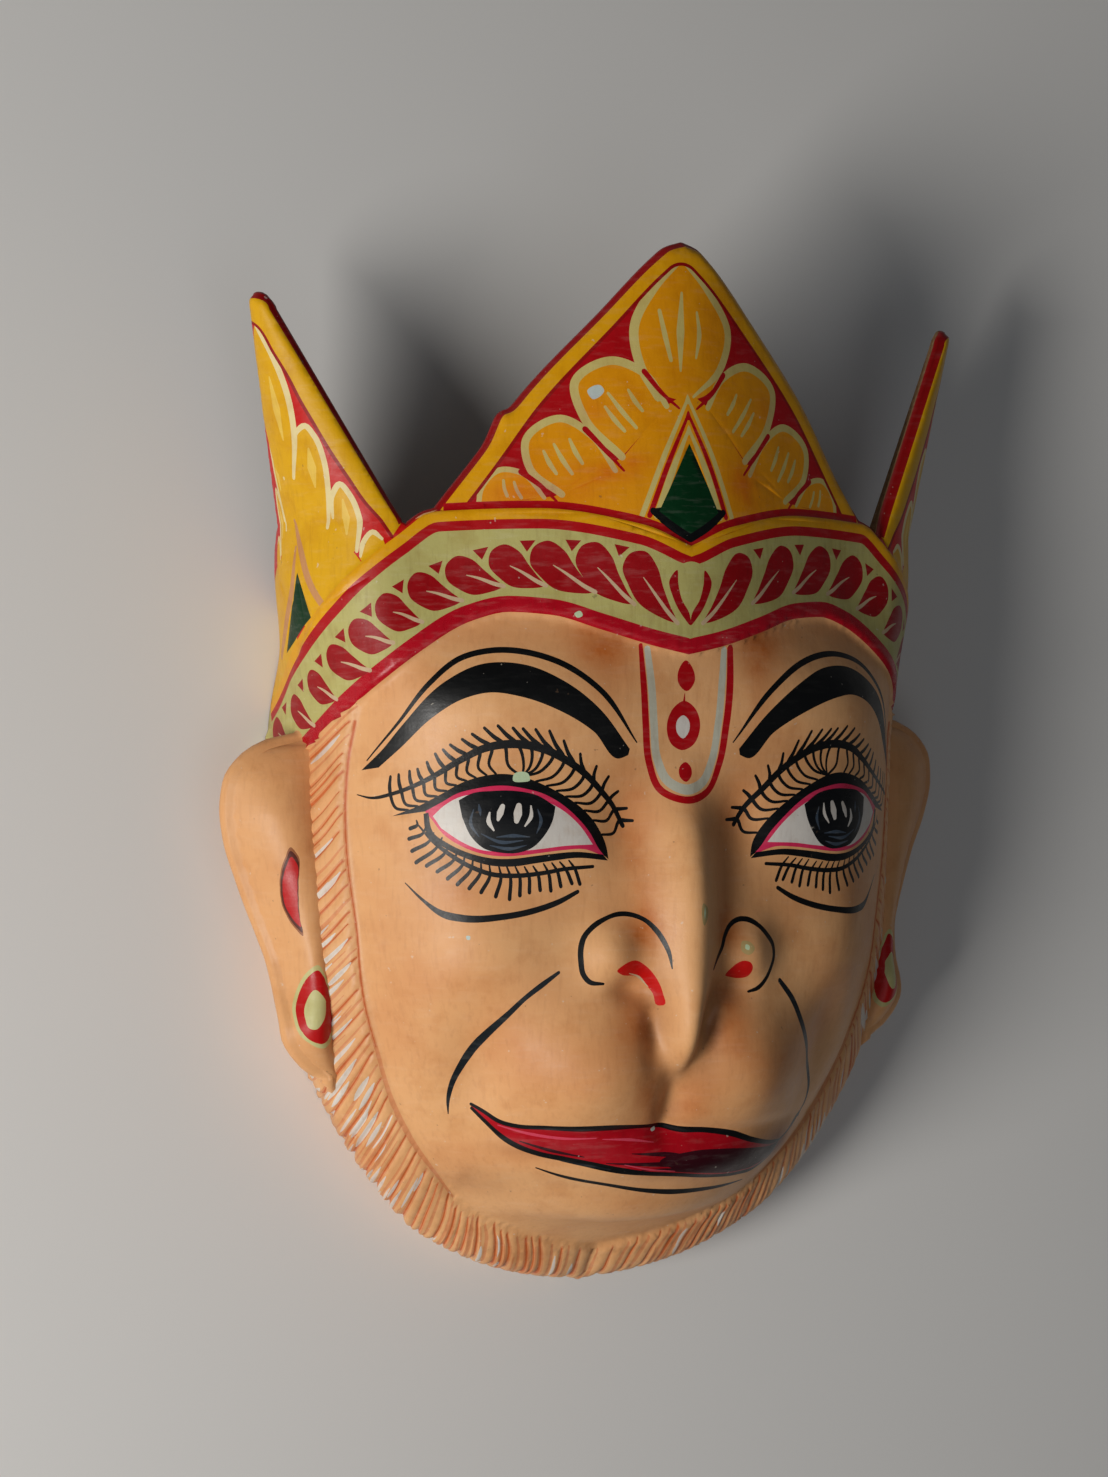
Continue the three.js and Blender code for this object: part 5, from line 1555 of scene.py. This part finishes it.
def build_material():
    material = bpy.data.materials.new("painted_papier_mache")
    material.use_nodes = True
    tree = material.node_tree
    nodes, links = tree.nodes, tree.links
    nodes.clear()
    output = nodes.new("ShaderNodeOutputMaterial")
    surface = nodes.new("ShaderNodeBsdfPrincipled")
    links.new(surface.outputs["BSDF"], output.inputs["Surface"])
    place = nodes.new("ShaderNodeTexCoord")

    def attribute(name, kind="Fac"):
        node = nodes.new("ShaderNodeAttribute")
        node.attribute_name = name
        return node.outputs[kind]

    def noise(scale, detail=4.0, rough=0.55, stretch=None, distortion=0.0):
        node = nodes.new("ShaderNodeTexNoise")
        node.inputs["Scale"].default_value = scale
        node.inputs["Detail"].default_value = detail
        node.inputs["Roughness"].default_value = rough
        node.inputs["Distortion"].default_value = distortion
        source = place.outputs["Object"]
        if stretch:
            mapping = nodes.new("ShaderNodeMapping")
            mapping.inputs["Scale"].default_value = stretch
            links.new(source, mapping.inputs["Vector"])
            source = mapping.outputs["Vector"]
        links.new(source, node.inputs["Vector"])
        return node.outputs["Fac"]

    def math_node(kind, a, b, clamp=False):
        node = nodes.new("ShaderNodeMath")
        node.operation = kind
        node.use_clamp = clamp
        for socket, value in zip(node.inputs, (a, b)):
            if isinstance(value, (int, float)):
                socket.default_value = value
            else:
                links.new(value, socket)
        return node.outputs[0]

    times = partial(math_node, "MULTIPLY")
    plus = partial(math_node, "ADD")

    def spread(value, low, high, to_low=0.0, to_high=1.0):
        node = nodes.new("ShaderNodeMapRange")
        node.inputs["From Min"].default_value = low
        node.inputs["From Max"].default_value = high
        node.inputs["To Min"].default_value = to_low
        node.inputs["To Max"].default_value = to_high
        links.new(value, node.inputs["Value"])
        return node.outputs["Result"]

    def mix(kind, factor, a, b):
        node = nodes.new("ShaderNodeMix")
        node.data_type = "RGBA"
        node.blend_type = kind
        for socket, value in ((node.inputs[0], factor), (node.inputs[6], a), (node.inputs[7], b)):
            if isinstance(value, (int, float)):
                socket.default_value = value
            elif isinstance(value, tuple):
                socket.default_value = (*value, 1.0)
            else:
                links.new(value, socket)
        return node.outputs[2]

    colour = attribute("paint", "Color")
    skin = attribute("skin")
    streaks = attribute("streaks")
    raw = attribute("raw")
    broad = noise(28, 3, 0.5)
    cloud = noise(90, 5, 0.6)
    brush_up = noise(700, 4, 0.6, (1.0, 0.16, 1.0))
    brush_over = noise(620, 4, 0.6, (0.2, 1.0, 0.2))
    grain = noise(2600, 3, 0.6)
    # Airbrushed orange-brown, broken up by the brush
    warm = times(attribute("warm"), spread(cloud, 0.3, 0.75, 0.45, 1.3))
    warm = plus(warm, times(spread(broad, 0.47, 0.72), 0.3))
    warm = times(warm, skin, True)
    colour = mix("MIX", warm, colour, tuple(linear((188, 104, 46))))
    # Painted shade in the creases: dark brown, broken up by the cloud noise, on the skin alone
    crease_shade = times(attribute("crease_shade"), spread(cloud, 0.35, 0.7, 0.4, 1.2))
    crease_shade = times(crease_shade, skin, True)
    colour = mix("MIX", crease_shade, colour, tuple(linear((112, 62, 28))))
    wash = times(attribute("wash"), spread(cloud, 0.35, 0.62, 0.2, 1.25), True)
    colour = mix("MULTIPLY", wash, colour, (0.86, 0.5, 0.9))
    # Painted shade over the lips' right half and lower edge, darkening whatever paint lies there
    deep = times(attribute("deep"), spread(cloud, 0.3, 0.7, 0.7, 1.1), True)
    colour = mix("MULTIPLY", deep, colour, (0.22, 0.12, 0.16))
    # Thin and thick paint: light and dark brush marks
    light = times(spread(brush_over, 0.52, 0.78), streaks)
    dark = times(spread(brush_up, 0.5, 0.28), streaks)
    colour = mix("SCREEN", times(light, 0.10), colour, (0.75, 0.72, 0.66))
    colour = mix("MULTIPLY", times(dark, 0.35), colour, (0.55, 0.42, 0.38))
    colour = mix("MULTIPLY", spread(cloud, 0.5, 0.3, 0.0, 0.5), colour, (0.8, 0.66, 0.54))
    # Pale specks of dust and small chips
    speck = spread(noise(520, 2, 0.5), 0.735, 0.76)
    colour = mix("MIX", times(speck, 0.35), colour, (0.72, 0.66, 0.56))
    pepper = spread(noise(410, 2, 0.5, (1.0, 1.0, 1.3)), 0.75, 0.775)
    colour = mix("MIX", times(pepper, 0.4), colour, (0.12, 0.07, 0.04))
    # Raw pasted paper inside
    fibre = noise(900, 5, 0.7, (1.0, 0.3, 1.0), 0.8)
    colour = mix("MULTIPLY", times(raw, spread(fibre, 0.65, 0.35)), colour, (0.6, 0.52, 0.45))
    links.new(colour, surface.inputs["Base Color"])
    rough = plus(attribute("gloss"), spread(cloud, 0.3, 0.7, -0.07, 0.09))
    rough = plus(rough, spread(grain, 0.35, 0.65, -0.03, 0.05), True)
    links.new(rough, surface.inputs["Roughness"])
    surface.inputs["Specular IOR Level"].default_value = 0.26
    height = broad
    for value, share in ((cloud, 0.28), (brush_over, 0.05), (brush_up, 0.03), (grain, 0.014),
                         (times(raw, fibre), 0.25)):
        height = plus(height, times(value, share))
    bump = nodes.new("ShaderNodeBump")
    bump.inputs["Strength"].default_value = 0.6
    bump.inputs["Distance"].default_value = 0.0012
    links.new(height, bump.inputs["Height"])
    links.new(bump.outputs["Normal"], surface.inputs["Normal"])
    return material


mask_mesh = finish_mesh("mask_painted_shell")
mask = bpy.data.objects.new("mask_painted_shell", mask_mesh)
bpy.context.scene.collection.objects.link(mask)
mask_mesh.materials.append(build_material())
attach(mask, "root")
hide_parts("mask_shell")

# Plain pale floor, soft light from the left, and a camera at the photograph's angle
floor_mesh = bpy.data.meshes.new("floor")
reach = 3.0
floor_mesh.from_pydata(
    [(-reach, -reach, 0), (reach, -reach, 0), (reach, reach, 0), (-reach, reach, 0)], [], [(0, 1, 2, 3)])
floor = bpy.data.objects.new("floor", floor_mesh)
bpy.context.scene.collection.objects.link(floor)
floor.location.z = -0.0004
floor_material = bpy.data.materials.new("pale_floor")
floor_material.use_nodes = True
floor_shader = floor_material.node_tree.nodes["Principled BSDF"]
floor_shader.inputs["Base Color"].default_value = (0.74, 0.73, 0.71, 1)
floor_shader.inputs["Roughness"].default_value = 0.7
floor_mesh.materials.append(floor_material)


def soft_light(name, place, target, size, watts, colour):
    data = bpy.data.lights.new(name, "AREA")
    data.shape = "DISK"
    data.size = size
    data.energy = watts
    data.color = colour
    light = bpy.data.objects.new(name, data)
    bpy.context.scene.collection.objects.link(light)
    light.location = place
    light.rotation_euler = (Vector(target) - Vector(place)).to_track_quat("-Z", "Y").to_euler()
    return light


soft_light("key_light", (-1.08, -0.3, 0.7), (0, 0, 0.05), 0.5, 13.0, (1.0, 0.97, 0.93))
soft_light("fill_light", (-0.2, -0.5, 1.3), (0, 0, 0.05), 0.9, 1.3, (0.93, 0.96, 1.0))
world = bpy.data.worlds.new("studio")
world.use_nodes = True
world.node_tree.nodes["Background"].inputs["Color"].default_value = (0.9, 0.94, 1.0, 1)
world.node_tree.nodes["Background"].inputs["Strength"].default_value = 0.065
bpy.context.scene.world = world
bpy.context.scene.view_settings.view_transform = "Standard"

CAMERA_TURN = math.radians(25)
CAMERA_DISTANCE = 1.1
# The camera aims at the centre line, this far up the face from its middle and this far under the rim
AIM_Y = 0.011
AIM_Z = -0.005
camera_data = bpy.data.cameras.new("photo_camera")
camera_data.lens = 85.05
camera_data.sensor_width = 36.0
camera_data.clip_start = 0.05
camera = bpy.data.objects.new("photo_camera", camera_data)
bpy.context.scene.collection.objects.link(camera)
camera.location = (
    -CAMERA_DISTANCE * math.sin(CAMERA_TURN),
    AIM_Y + CENTRE_Y * MM,
    CAMERA_DISTANCE * math.cos(CAMERA_TURN) + AIM_Z,
)
camera.rotation_euler = (0, -CAMERA_TURN, 0)
bpy.context.scene.camera = camera
